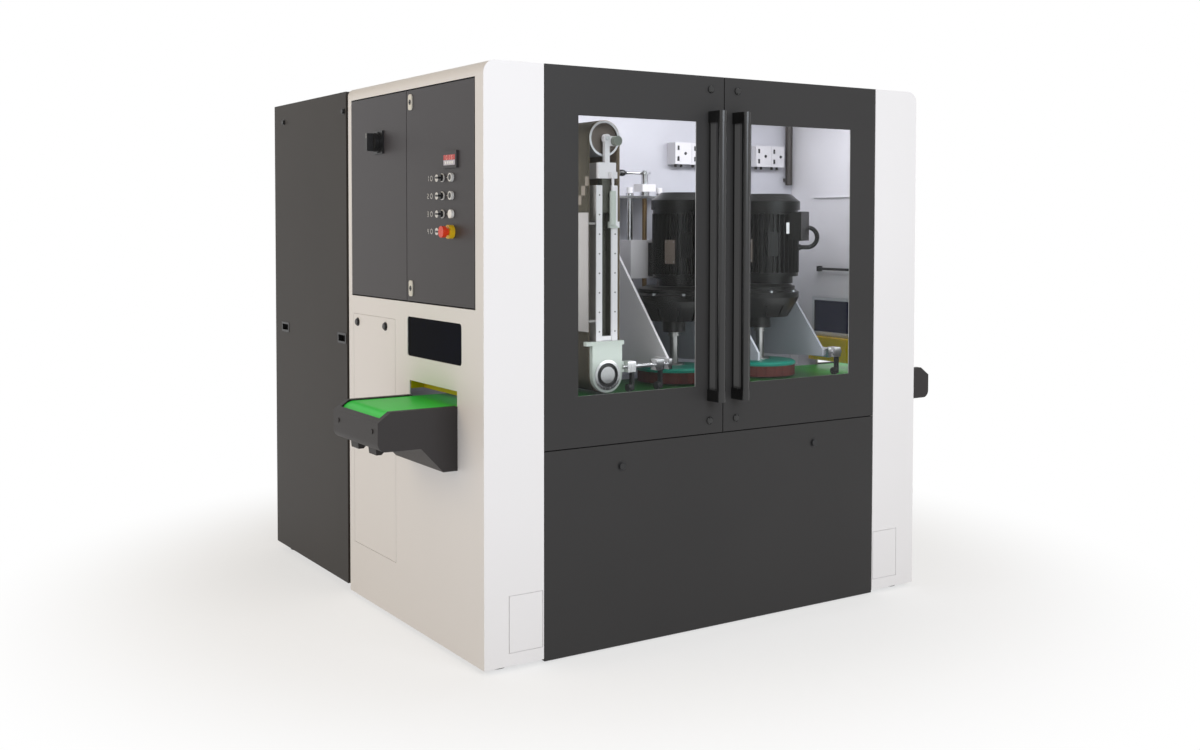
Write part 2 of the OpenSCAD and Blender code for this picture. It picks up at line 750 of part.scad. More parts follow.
// Mounting plate of the cabinet with drives, breakers, contactors and wiring ducts
module cabinet_gear() color("silver") from_front() {
  plate_x = -cab_back_x - sheet;
  face = plate_x - gear_plate_t;
  y0 = cab_y0 + gear_margin;
  y1 = cab_y1 - gear_margin;
  z0 = cab_z0 + gear_margin;
  z1 = cab_zt - gear_margin;
  span([face, y0, z0], [plate_x, y1, z1]);
  for (k = [0, 0.33, 0.62, 1]) {
    z = z0 + duct_h / 2 + k * (z1 - z0 - duct_h);
    span([face - duct_depth, y0 + gear_margin, z - duct_h / 2], [face, y1 - gear_margin, z + duct_h / 2]);
  }
  for (k = [gear_rows_share[1], gear_rows_share[2] + gear_rows_share[0]]) {
    z = z0 + k * (z1 - z0);
    span([face - din_t, y0 + gear_margin, z - din_h / 2], [face, y1 - gear_margin, z + din_h / 2]);
  }
  row_y = y0 + 2 * gear_margin;
  device_row(breaker_n, breaker_w, breaker_h, breaker_d, row_y,
    z0 + (gear_rows_share[2] + gear_rows_share[0]) * (z1 - z0), face - din_t);
  device_row(contactor_n, contactor_w, contactor_h, contactor_d, row_y,
    z0 + gear_rows_share[1] * (z1 - z0), face - din_t);
  device_row(4, gear_sizes[0][0] + gear_sizes[3][0], gear_sizes[3][1], gear_sizes[3][2], row_y,
    z0 + gear_rows_share[0] * (z1 - z0) + duct_h, face);
}

// Knuckles of a door round one hinge axis at the origin
module knuckles(z_list) for (z = z_list, s = [-1, 1])
  translate([0, 0, z + s * (arm_t / 2 + run_gap + knuckle_h / 2)])
  difference() {
    cylinder(r = knuckle_r, h = knuckle_h, center = true);
    cylinder(r = pin_r + shaft_fit, h = knuckle_h + overrun, center = true);
  }

// Folded door with its hinge edge at X = 0, its face at Y = 0, reaching +X
module folded_door(w, z0, z1, t, z_list) {
  axis = [hinge_edge, hinge_in, 0];
  difference() {
    union() {
      difference() {
        span([0, 0, z0], [w, t, z1]);
        span([sheet, sheet, z0 + sheet], [w - sheet, t + overrun, z1 - sheet]);
      }
      translate(axis) knuckles(z_list);
      for (z = z_list, s = [-1, 1]) translate([0, 0, z + s * (arm_t / 2 + run_gap + knuckle_h / 2)
        - knuckle_h / 2])
        difference() {
          span([sheet, hinge_in - eye_r, 0], [hinge_edge, hinge_in + eye_r, knuckle_h]);
          translate([hinge_edge, hinge_in, -overrun]) cylinder(r = knuckle_r - shaft_fit,
            h = knuckle_h + 2 * overrun);
        }
    }
    for (z = z_list) span([-overrun, sheet, z - arm_t / 2 - door_gap], [sheet + overrun, t + overrun,
      z + arm_t / 2 + door_gap]);
    translate(axis) for (z = z_list) cylinder_through(z);
  }
}
module cylinder_through(z) translate([0, 0, z - knuckle_h - arm_t]) cylinder(r = pin_r + shaft_fit,
  h = 2 * (knuckle_h + arm_t));

door_edge_x = column_x - door_gap;
door_w = door_edge_x - seam_gap / 2;
ring_in = 22;

// Front door with its window, seen as the left one
module front_door() translate([-door_edge_x, 0, 0]) {
  x1 = door_w - window_seam + seam_gap / 2;
  x0 = x1 - window_w;
  z0 = door_bottom_z + window_sill;
  z1 = z0 + window_h;
  difference() {
    union() {
      folded_door(door_w, door_bottom_z, machine_h, door_thick, front_hinge_z);
      difference() {
        span([x0 - ring_in - sheet, sheet, z0 - ring_in - sheet], [x1 + ring_in + sheet,
          door_thick - frame_clear, z1 + ring_in + sheet]);
        span([x0 - ring_in, 0, z0 - ring_in], [x1 + ring_in, door_thick, z1 + ring_in]);
      }
    }
    span([x0, -overrun, z0], [x1, sheet + overrun, z1]);
  }
}
module left_front_door() color("dimgray") from_front() front_door();
module right_front_door() color("dimgray") from_front() mirror(X) front_door();

pane_lap = 20;

// Clear pane behind the door's skin
module door_pane() {
  z0 = door_bottom_z + window_sill;
  span([-window_seam - window_w - pane_lap, sheet, z0 - pane_lap], [-window_seam + pane_lap,
    sheet + pane_t, z0 + window_h + pane_lap]);
}
module left_door_pane() color("lightcyan", 0.4) from_front() door_pane();
module right_door_pane() color("lightcyan", 0.4) from_front() mirror(X) door_pane();

handle_x = 57;
handle_z0 = 860;
handle_end_h = 42;
handle_end_w = 36;
handle_strip_w = 26;
handle_strip_t = 8;
bolt_r = 14;
bolt_h = 9;
bolt_x = 63;
bolt_edge = 48;

// Bar handle with its end blocks and base strip, and the door's two domed bolts
module door_handle() {
  z1 = handle_z0 + handle_len;
  y = -handle_reach + handle_end_w / 2;
  for (z = [handle_z0, z1 - handle_end_h]) {
    span([-handle_x - handle_end_w / 2, y, z], [-handle_x + handle_end_w / 2, 0, z + handle_end_h]);
    rod_z(z, z + handle_end_h, -handle_x, y, handle_end_w / 2);
  }
  rod_z(handle_z0 + handle_end_h, z1 - handle_end_h, -handle_x, y, handle_d / 2);
  span([-handle_x - handle_strip_w / 2, -handle_strip_t, handle_z0 + handle_end_h],
    [-handle_x + handle_strip_w / 2, 0, z1 - handle_end_h]);
  for (z = [door_bottom_z + bolt_edge, machine_h - bolt_edge]) translate([-bolt_x, 0, z])
    rotate([90, 0, 0]) {
    cylinder(r = bolt_r, h = bolt_h / 2);
    translate([0, 0, bolt_h / 2]) cylinder(r1 = bolt_r, r2 = bolt_r * 0.7, h = bolt_h / 2);
  }
}
module left_door_handle() color("black") from_front() door_handle();
module right_door_handle() color("black") from_front() mirror(X) door_handle();

// Door of the cabinet between two places along Y, with its hinge at the low or the high end
module cabinet_door(y0, y1, low_hinge) {
  w = y1 - y0;
  z0 = cabinet_z0 + cab_gap;
  z1 = cabinet_z1 - cab_gap;
  if (low_hinge) translate([door_face_x, y0, 0]) mirror([1, -1, 0]) folded_door(w, z0, z1, cab_door_t,
    cab_hinge_z);
  else translate([door_face_x, y1, 0]) rotate([0, 0, -90]) folded_door(w, z0, z1, cab_door_t,
    cab_hinge_z);
}
cab_front_y0 = cabinet_y0 + cab_gap;
cab_front_y1 = cabinet_seam_y - seam_gap / 2;
cab_rear_y0 = cabinet_seam_y + seam_gap / 2;
cab_rear_y1 = cabinet_y1 - cab_gap;
lock_y = 567;
lock_z = [1280, 1964];
lock_r = 10;
lock_hole_r = 10.05;
switch_y = 856;
switch_z = 1831;
switch_w = 88;
switch_base_t = 14;
switch_knob_r = 36;
switch_knob_t = 16;
switch_grip_t = 24;
switch_grip_w = 18;

module cabinet_rear_door() color("dimgray") from_front() cabinet_door(cab_rear_y0, cab_rear_y1, false);
module cabinet_front_door() color("dimgray") from_front() difference() {
  cabinet_door(cab_front_y0, cab_front_y1, true);
  for (z = lock_z) rod_x(-half_w - overrun, -half_w + sheet + overrun, lock_y, z, lock_hole_r);
}

lock_plate_w = 30;
lock_plate_h = 58;
lock_plate_t = 4;
lock_len = 26;
slot_cut_w = 3.5;
slot_cut_depth = 3;
cam_len = 50;
cam_w = 14;
cam_t = 4;

// Quarter-turn lock: barrel with a key slot, and a cam that turns behind the fold of the rear door
module door_lock(z) color("gray") from_front() {
  x0 = -half_w - lock_plate_t - run_gap;
  difference() {
    rod_x(x0, x0 + lock_len, lock_y, z, lock_r);
    span([x0 - overrun, lock_y - lock_r * 0.7, z - slot_cut_w / 2], [x0 + slot_cut_depth,
      lock_y + lock_r * 0.7, z + slot_cut_w / 2]);
  }
  span([x0 + lock_len, lock_y - cam_w / 2, z - cam_len], [x0 + lock_len + cam_t, lock_y + cam_w / 2,
    z + cam_w / 2]);
}
module upper_door_lock() door_lock(lock_z[1]);
module lower_door_lock() door_lock(lock_z[0]);

// Base plate of the main switch
module main_switch_base() color("black") from_front() {
  x = -half_w;
  span([x - switch_base_t / 2, switch_y - switch_w / 2, switch_z - switch_w / 2],
    [x, switch_y + switch_w / 2, switch_z + switch_w / 2]);
  rod_x(x - switch_base_t, x - switch_base_t / 2, switch_y, switch_z, switch_w / 2 - sheet);
}

// Rotary knob of the main switch
module main_switch_knob() color("black") from_front() {
  x = -half_w - switch_base_t - run_gap;
  rod_x(x - switch_knob_t, x, switch_y, switch_z, switch_knob_r);
  span([x - switch_knob_t - switch_grip_t, switch_y - switch_grip_w / 2, switch_z - switch_knob_r * 0.94],
    [x - switch_knob_t, switch_y + switch_grip_w / 2, switch_z + switch_knob_r * 0.94]);
}

display_y0 = 185;
display_y1 = 292;
display_z0 = 1712;
display_z1 = 1772;
display_t = 7;
row_z = [1680, 1617, 1553, 1491];
selector_y = 304;
button_y = 231;
bezel_r = 15;
bezel_t = 4;
dial_y = 352;
dial_r = 13;
dial_t = 1;
button_r = 10;
button_h = 6;
button_travel = 4;
estop_collar_r = 24;
estop_collar_t = 18;
estop_stem_r = 12;
estop_stem_l = 10;
estop_head_r = 20;
estop_head_t = 16;
estop_travel = 6;
stem_well = 12;

// Bezels, dial plates, display, lamp, emergency stop collar and lock plates on the front cabinet door
module panel_indicators() color("silver") from_front() {
  x = -half_w;
  span([x - display_t, display_y0, display_z0], [x, display_y1, display_z1]);
  for (i = [0 : 3]) {
    rod_x(x - bezel_t, x, selector_y, row_z[i], bezel_r);
    rod_x(x - dial_t, x, dial_y, row_z[i], dial_r);
    if (i < 2) difference() {
      rod_x(x - bezel_t - button_h, x, button_y, row_z[i], bezel_r);
      rod_x(x - bezel_t - button_h - overrun, x - dial_t, button_y, row_z[i], button_r + run_gap);
    }
  }
  rod_x(x - bezel_t - button_h, x, button_y, row_z[2], bezel_r);
  difference() {
    rod_x(x - estop_collar_t, x, button_y, row_z[3], estop_collar_r);
    rod_x(x - estop_collar_t - overrun, x - estop_collar_t + stem_well, button_y, row_z[3],
      estop_stem_r + run_gap);
  }
  for (z = lock_z) difference() {
    plate_yz(x - lock_plate_t, x)
      round_plate([lock_y - lock_plate_w / 2, z - lock_plate_h / 2], [lock_y + lock_plate_w / 2,
        z + lock_plate_h / 2], lock_r);
    rod_x(x - lock_plate_t - overrun, x + overrun, lock_y, z, lock_hole_r);
  }
}

// Emergency stop: mushroom head on its stem
module estop_button() color("red") from_front() {
  x = -half_w - estop_collar_t;
  rod_x(x - estop_stem_l, x + stem_well - estop_travel - run_gap, button_y, row_z[3], estop_stem_r);
  rod_x(x - estop_stem_l - estop_head_t, x - estop_stem_l, button_y, row_z[3], estop_head_r);
}

selector_t = 8;
selector_grip_t = 12;
selector_grip_w = 7;
selector_r = 12;

// Selector knob with its grip bar
module selector(i) color("black") from_front() {
  x = -half_w - bezel_t - run_gap;
  rod_x(x - selector_t, x, selector_y, row_z[i], selector_r);
  span([x - selector_t - selector_grip_t, selector_y - selector_r * 0.9, row_z[i] - selector_grip_w / 2],
    [x - selector_t, selector_y + selector_r * 0.9, row_z[i] + selector_grip_w / 2]);
}
module selector_1() selector(0);
module selector_2() selector(1);
module selector_3() selector(2);
module selector_4() selector(3);

// Push button in its collar
module push_button(i) color("black") from_front()
  rod_x(-half_w - bezel_t - button_h, -half_w - dial_t - button_travel - run_gap, button_y, row_z[i],
    button_r);
module push_button_1() push_button(0);
module push_button_2() push_button(1);

// Fixed part of a hinge: eye with its pin, and an arm that leads back to the frame
module hinge_arm(reach, z) translate([0, 0, z]) {
  translate([0, 0, -arm_t / 2]) linear_extrude(arm_t) {
    circle(eye_r);
    translate([weld_gap, 0]) square([arm_t, reach]);
  }
  cylinder(r = pin_r, h = pin_len, center = true);
}

// Hinge pins of the front doors and of the cabinet doors
module door_hinges() color("gray") from_front() {
  both_sides() translate([-door_edge_x + hinge_edge, hinge_in, 0])
    for (z = front_hinge_z) hinge_arm(frame_y - hinge_in, z);
  bend_x = cab_door_t - hinge_in + frame_clear;
  for (z = cab_hinge_z) {
    translate([door_face_x + hinge_in, cab_front_y0 + hinge_edge, 0]) mirror([1, -1, 0]) {
      hinge_arm(bend_x + arm_t, z);
      translate([0, 0, z]) span([cab_y0 + sheet - cab_front_y0 - hinge_edge, bend_x, -arm_t / 2],
        [arm_t, bend_x + arm_t, arm_t / 2]);
    }
    translate([door_face_x + hinge_in, cab_rear_y1 - hinge_edge, 0]) rotate([0, 0, -90]) {
      hinge_arm(bend_x + arm_t, z);
      translate([0, 0, z]) span([cab_rear_y1 + sheet - cab_y1 - hinge_edge, bend_x, -arm_t / 2],
        [arm_t, bend_x + arm_t, arm_t / 2]);
    }
  }
}

column_half = 47;
grinder_y0 = 190;
column_depth = 50;
column_z0 = 1084;
column_z1 = 1661;
slot_half = 19;
slot_depth = 35;
strip_t = 3;
strip_screw_r = 3;
strip_screw_n = 8;
carrier_half = 36;
carrier_z0 = 1150;
carrier_z1 = 1600;
bearing_half = 65.5;
bearing_y0 = 183;
bearing_y1 = abrasive_y0 - panel_gap;
bearing_top = 1069;
bearing_ring_r = 56;
bearing_seat_r = 45;
bearing_seat_depth = 6;
flange_x0 = -92;
flange_x1 = 75;
tension_cyl_x = 17;
tension_cyl_y = 174;
tension_cyl_r = 12;
tension_rod_r = 5;
tension_cyl_z0 = 1515;
tension_cyl_z1 = 1640;
tension_stroke = 20;
hold_y = 181;
hold_z = 985;
hold_rod_r = 8;
hold_block_w = 36;
hold_block_h = 40;
hold_shoe_r = 15;
hold_shoe_w = 16;
hold_arm_t = 10;
hold_end_t = 14;
guard_x = 78;
guard_y0 = 191;
guard_y1 = 480;
guard_z0 = 1120;
guard_z1 = 1560;
guard_post_r = 5;
guard_post_y = 197;
guard_post_in = 40;
hold_left_x = [grinder_x + bearing_half + 30, disc_1_x - gusset_off - gusset_t - 55];
hold_right_x = disc_2_x + gusset_off + gusset_t + 50;

// Hold-down block with its arm and round shoe
module hold_down(x) {
  difference() {
    span([x - hold_block_w / 2, hold_y - hold_block_h / 2, hold_z - hold_block_h / 2],
      [x + hold_block_w / 2, hold_y + hold_block_h / 2, hold_z + hold_block_h / 2]);
    rod_x(x - hold_block_w, x + hold_block_w, hold_y, hold_z, hold_rod_r);
  }
  shoe_z = belt_top_z + work_gap + hold_shoe_r;
  span([x + hold_shoe_w / 2, hold_y - hold_arm_t, shoe_z - hold_arm_t], [x + hold_shoe_w / 2 + hold_arm_t,
    hold_y + hold_arm_t, hold_z - hold_block_h / 2]);
  rod_x(x - hold_shoe_w / 2, x + hold_shoe_w / 2, hold_y, shoe_z, hold_shoe_r);
}

// Column, carrier, belt guard and bearing block of the belt grinding unit, with the hold-down shoes
module grinder_frame() color("whitesmoke") from_front() {
  translate([grinder_x, 0, 0]) {
    difference() {
      span([-column_half, grinder_y0, column_z0], [column_half, grinder_y0 + column_depth, column_z1]);
      span([-slot_half, grinder_y0 - overrun, column_z0 + slot_half], [slot_half, grinder_y0 + slot_depth,
        column_z1 + overrun]);
    }
    for (side = [-1, 1]) {
      x0 = side * (column_half + slot_half + sheet) / 2 - (column_half - slot_half - sheet) / 2;
      difference() {
        span([x0, grinder_y0 - strip_t, column_z0], [x0 + column_half - slot_half - sheet, grinder_y0,
          column_z1 - sheet]);
        for (i = [0 : strip_screw_n - 1])
          rod_y(grinder_y0 - strip_t - overrun, grinder_y0 - strip_t / 2, x0 + (column_half - slot_half)
            / 2,
            column_z0 + (i + 0.5) * (column_z1 - column_z0) / strip_screw_n, strip_screw_r);
      }
    }
    span([-carrier_half, grinder_y0 + column_depth, carrier_z0], [carrier_half, back_y, carrier_z1]);
    span([flange_x0, bearing_y0, bearing_top], [flange_x1, bearing_y1, column_z0]);
    span([-guard_x - sheet, guard_y0, guard_z0], [-guard_x, guard_y1, guard_z1]);
    for (z = [guard_z0 + guard_post_in, guard_z1 - guard_post_in])
      rod_x(-guard_x, -column_half, guard_post_y, z, guard_post_r);
    difference() {
      union() {
        span([-bearing_half, bearing_y0, contact_z], [bearing_half, bearing_y1, bearing_top]);
        rod_y(bearing_y0, bearing_y1, 0, contact_z, bearing_half);
        rod_y(bearing_y0 - sheet, bearing_y0, 0, contact_z, bearing_ring_r);
      }
      rod_y(bearing_y0 - sheet - overrun, bearing_y0 + bearing_seat_depth, 0, contact_z, bearing_seat_r);
      rod_y(bearing_y0, bearing_y1 + overrun, 0, contact_z, contact_shaft_r + shaft_fit);
    }
    span([-column_half, bearing_y1 - panel_gap, bearing_top], [column_half, grinder_y0 + column_depth,
      column_z0]);
    difference() {
      union() {
        rod_z(tension_cyl_z0, tension_cyl_z1, tension_cyl_x, tension_cyl_y, tension_cyl_r);
        span([tension_cyl_x - tension_cyl_r, tension_cyl_y, tension_cyl_z0 - tension_cyl_r],
          [tension_cyl_x + tension_cyl_r, grinder_y0, tension_cyl_z0 + tension_cyl_r]);
        span([slot_half, tension_cyl_y, tension_cyl_z0 - tension_cyl_r], [column_half, grinder_y0,
          tension_cyl_z0 + tension_cyl_r]);
      }
      rod_z(tension_cyl_z1 - 3 * tension_stroke - run_gap, tension_cyl_z1 + overrun, tension_cyl_x,
        tension_cyl_y, tension_rod_r + shaft_fit);
    }
  }
  rod_x(grinder_x + bearing_half, disc_1_x - gusset_off - gusset_t - hold_end_t, hold_y, hold_z,
    hold_rod_r);
  for (x = hold_left_x) hold_down(x);
  both_ends = [disc_1_x - gusset_off - gusset_t - hold_end_t, disc_2_x + gusset_off + gusset_t];
  for (x = both_ends) span([x, hold_y - hold_block_h / 2, hold_z - hold_block_h / 2],
    [x + hold_end_t, hold_y + 2 * hold_block_h, hold_z + hold_block_h / 2]);
  span([grinder_x + bearing_half, bearing_y0, hold_z - hold_block_h / 2],
    [grinder_x + bearing_half + hold_arm_t, hold_y + hold_block_h / 2, hold_z + hold_block_h / 2]);
  rod_x(disc_2_x + gusset_off + gusset_t + hold_end_t, hold_right_x + hold_block_w, hold_y, hold_z,
    hold_rod_r);
  hold_down(hold_right_x);
}

yoke_z0 = 1686;
yoke_z1 = 1745;
yoke_half = 30;
yoke_plate_half = 38;
yoke_plate_t = 17;
yoke_front_y = 185;
slider_half = 18.7;
slider_z0 = 1560;
slider_depth = 32;
tracking_x = 32;
tracking_r = 18;
tracking_len = 24;
tracking_stem_r = 6;
tracking_z = tension_z - tracking_r / 2;
yoke_stem_half = 10;
yoke_boss_r = 16;

// Yoke of the tension roller, guided in the column's slot
module tension_yoke() color("gray") from_front() translate([grinder_x, 0, 0]) {
  rear_y = abrasive_y1 + panel_gap;
  span([-yoke_half, yoke_front_y + yoke_plate_t, yoke_z0], [yoke_half, rear_y, yoke_z1]);
  difference() {
    union() for (y = [yoke_front_y, rear_y]) {
      span([-yoke_plate_half, y, yoke_z0], [yoke_plate_half, y + yoke_plate_t, yoke_z1]);
      span([-yoke_stem_half, y, yoke_z1], [yoke_stem_half, y + yoke_plate_t, tension_z]);
      rod_y(y, y + yoke_plate_t, 0, tension_z, yoke_boss_r);
      if (y == yoke_front_y) span([0, y, tracking_z - tracking_r], [tracking_x + tracking_r,
        y + yoke_plate_t, tracking_z + tracking_r]);
    }
    rod_y(yoke_front_y - overrun, yoke_front_y + yoke_plate_t + overrun, tracking_x, tracking_z,
      tracking_stem_r + shaft_fit);
    rod_y(yoke_front_y - overrun, rear_y + yoke_plate_t + overrun, 0, tension_z,
      tension_shaft_r + shaft_fit);
  }
  span([-slider_half, grinder_y0 + panel_gap, slider_z0], [slider_half, grinder_y0 + slider_depth,
    yoke_z0]);
  span([tension_cyl_x - tension_cyl_r, tension_cyl_y - tension_cyl_r, yoke_z0],
    [tension_cyl_x + tension_cyl_r, yoke_front_y, yoke_z0 + 2 * tension_cyl_r]);
  rod_z(tension_cyl_z1 - 2 * tension_stroke, yoke_z0, tension_cyl_x, tension_cyl_y, tension_rod_r);
}

// Knob that tilts the tension roller to track the belt
module tracking_knob() color("black") from_front() {
  rod_y(yoke_front_y - run_gap - tracking_len, yoke_front_y - run_gap, grinder_x + tracking_x, tracking_z,
    tracking_r);
  rod_y(yoke_front_y - run_gap, yoke_front_y + yoke_plate_t, grinder_x + tracking_x, tracking_z,
    tracking_stem_r);
}

// Abrasive belt loop, upright
module abrasive_belt() color("saddlebrown") from_front() {
  half = (tension_z - contact_z) / 2;
  difference() {
    plate_xz(abrasive_y0, abrasive_y1)
      translate([grinder_x, contact_z + half]) rotate(90) loop_outline(half, loop_r + abrasive_t);
    plate_xz(abrasive_y0 - overrun, abrasive_y1 + overrun)
      translate([grinder_x, contact_z + half]) rotate(90) loop_outline(half, loop_r);
  }
}

cap_r = 31;
motor_shaft_in = 60;
rim_t = 8;
web_depth = 10;

// Contact roller with its shaft, driven from behind the back plate
module contact_roller() color("gray") from_front() {
  rod_y(abrasive_y0, abrasive_y1, grinder_x, contact_z, contact_r);
  rod_y(bearing_y0, back_y + back_t + motor_shaft_in, grinder_x, contact_z, contact_shaft_r);
  rod_y(bearing_y0 - sheet - run_gap, bearing_y0, grinder_x, contact_z, cap_r);
}

// Tension roller with a turned rim
module tension_roller() color("silver") from_front() difference() {
  union() {
    rod_y(abrasive_y0, abrasive_y1, grinder_x, tension_z, contact_r);
    rod_y(yoke_front_y - shaft_stub, abrasive_y1 + yoke_plate_t + shaft_stub, grinder_x, tension_z,
      tension_shaft_r);
  }
  difference() {
    union() {
      rod_y(abrasive_y0 - overrun, abrasive_y0 + web_depth, grinder_x, tension_z, contact_r - rim_t);
      rod_y(abrasive_y1 - web_depth, abrasive_y1 + overrun, grinder_x, tension_z, contact_r - rim_t);
    }
    rod_y(yoke_front_y, abrasive_y1 + yoke_plate_t, grinder_x, tension_z, tension_shaft_r);
  }
}

drive_flange = 110;
drive_flange_t = 14;
drive_r = 88;
drive_len = 260;

// Motor of the grinding belt, flanged to the rear of the back plate
module grinder_motor() color("black") from_front() difference() {
  y0 = back_y + back_t;
  union() {
    span([grinder_x - drive_flange, y0, contact_z - drive_flange], [grinder_x + drive_flange,
      y0 + drive_flange_t, contact_z + drive_flange]);
    rod_y(y0 + drive_flange_t, y0 + drive_len, grinder_x, contact_z, drive_r);
    for (i = [0 : 11]) translate([grinder_x, y0 + drive_flange_t + drive_flange_t, contact_z])
      rotate([0, 30 * i, 0])
      span([-sheet / 2, 0, drive_r - sheet], [sheet / 2, drive_len - 4 * drive_flange_t,
        drive_r + drive_flange_t]);
  }
  rod_y(y0 - overrun, y0 + motor_shaft_in + overrun, grinder_x, contact_z, contact_shaft_r + shaft_fit);
}

gusset_tip_y = 190;
gusset_tip_z0 = 970;
gusset_tip_z1 = 1000;
gusset_knee_y = 550;
gusset_knee_z = 1408;
gusset_top_y = 620;
gusset_top_z = 1485;
gusset_low_y = 560;
gusset_low_z = 950;
shelf_z = 1150;
shelf_t = 12;
shelf_y = 570;
plate_front = 565;
indicator_w = 66;
indicator_z0 = 1651;
indicator_z1 = 1682;
rod_top = 1668;
rod_nut_r = 16;
rod_nut_h = 12;
collar_r = 20;

// Gussets, shelf, top plate, guide rods and indicator of one disc unit
module slide_frame(x) translate([x, 0, 0]) {
  both_sides() {
    plate_yz(gusset_off, gusset_off + gusset_t)
      polygon([[back_y, gusset_low_z], [gusset_low_y, gusset_low_z], [gusset_tip_y, gusset_tip_z0],
        [gusset_tip_y, gusset_tip_z1],
        [gusset_knee_y, gusset_knee_z], [gusset_top_y, gusset_top_z], [back_y, gusset_top_z]]);
    rod_z(shelf_z, rod_top, rod_off, slide_y, rod_r);
    rod_z(top_plate_z + top_plate_t, top_plate_z + top_plate_t + rod_nut_h, rod_off, slide_y, rod_nut_r);
  }
  span([-gusset_off, shelf_y, shelf_z], [gusset_off, back_y, shelf_z + shelf_t]);
  difference() {
    union() {
      span([-top_plate_x, plate_front, top_plate_z], [top_plate_x, back_y, top_plate_z + top_plate_t]);
      rod_z(top_plate_z + top_plate_t, indicator_z0, 0, slide_y, collar_r);
      span([-indicator_w / 2, slide_y - indicator_w / 2, indicator_z0], [indicator_w / 2,
        slide_y + indicator_w / 2, indicator_z1]);
    }
    rod_z(top_plate_z - overrun, indicator_z1 + overrun, 0, slide_y, screw_r + shaft_fit);
  }
}
module slide_frames() color("white") from_front() for (x = [disc_1_x, disc_2_x]) slide_frame(x);

// Carriage block that slides on the guide rods and takes the lead screw
module carriage(x) color("white") from_front() translate([x, 0, 0]) difference() {
  span([-block_x, block_y0, block_z0], [block_x, block_y1, block_z1]);
  both_sides() rod_z(block_z0 - overrun, block_z1 + overrun, rod_off, slide_y, rod_r + shaft_fit);
  rod_z(block_z0 - overrun, block_z1 + overrun, 0, slide_y, screw_r + shaft_fit);
}
module carriage_1() carriage(disc_1_x);
module carriage_2() carriage(disc_2_x);

// Shares of the bell's radius and height, from the neck up
bell_shares = [[0, 0], [0.28, 0], [0.28, 0.2], [0.45, 0.22], [0.73, 0.22], [0.93, 0.49], [1, 0.6],
  [1, 0.7], [0.9, 0.74], [0.9, 0.81], [0.7, 0.86], [0, 0.86]];
cowl_shares = [[0, 0], [1, 0], [1, 0.55], [0.7, 1], [0.62, 1], [0.62, 0.9], [0, 0.9]];
core_share = 0.84;
cowl_share = 1.03;
foot_share = 0.8;
shield_share = 0.97;
bolt_circle_share = 0.95;
motor_off = 46;
fin_n = 36;
fin_t = 3;
bell_slot_n = 12;
bell_slot_w = 9;
bell_slot_h = 46;
bell_slot_z = 52;
bell_slot_in = 14;
flange_bolt_n = 8;
flange_bolt_r = 7;
flange_bolt_h = 9;
shield_h = 16;
box_turn = -59;
box_w = 104;
box_d = 20;
box_h = 116;
box_z = 1451;
box_lid = 12;
plate_turn = -122;
plate_w = 44;
plate_h = 100;
plate_z = 1385;
foot_half = 56;
cable_r = 9.5;
gland_r = 13;
gland_l = 16;
loop_bend_r = 42;
loop_reach = 36;
cable_turn = -33;
cable_z = 1504;

// Half bend of the conduit in the XZ plane, starting at the origin along +X and turning down
module bend_down(r, angle) translate([0, 0, -r]) rotate([90, 0, 0]) rotate([0, 0, 90 - angle])
  rotate_extrude(angle = angle) translate([r, 0]) circle(cable_r);

// Conduit loop from the terminal box down to a gland in the motor's side
module conduit() rotate([0, 0, cable_turn]) {
  r1 = motor_r + loop_reach;
  low_z = cable_z - 2 * loop_bend_r;
  rod_x(motor_r - gland_l, r1, 0, cable_z, cable_r);
  rod_x(motor_r - gland_l, r1 - gland_l, 0, cable_z, gland_r);
  rod_x(motor_r - gland_l, motor_r + gland_l / 2, 0, low_z, gland_r);
  rod_x(motor_r - gland_l, r1, 0, low_z, cable_r);
  translate([r1, 0, cable_z]) bend_down(loop_bend_r, 180);
}

// Bell housing of the spindle with its slots and flange bolts
module bell_housing() {
  translate([0, 0, neck_z]) difference() {
    rotate_extrude() polygon([for (p = bell_shares) [p.x * bell_r, p.y * bell_h]]);
    for (i = [0 : bell_slot_n - 1]) rotate([0, 0, 360 * i / bell_slot_n])
      span([bell_shares[4].x * bell_r - bell_slot_in, -bell_slot_w / 2, bell_slot_z],
        [bell_r + overrun, bell_slot_w / 2, bell_slot_z + bell_slot_h]);
  }
  for (i = [0 : flange_bolt_n - 1]) rotate([0, 0, 360 * (i + 0.5) / flange_bolt_n])
    translate([bell_r * bolt_circle_share, 0, neck_z + bell_shares[7].y * bell_h])
      cylinder(r = flange_bolt_r,
      h = flange_bolt_h);
}

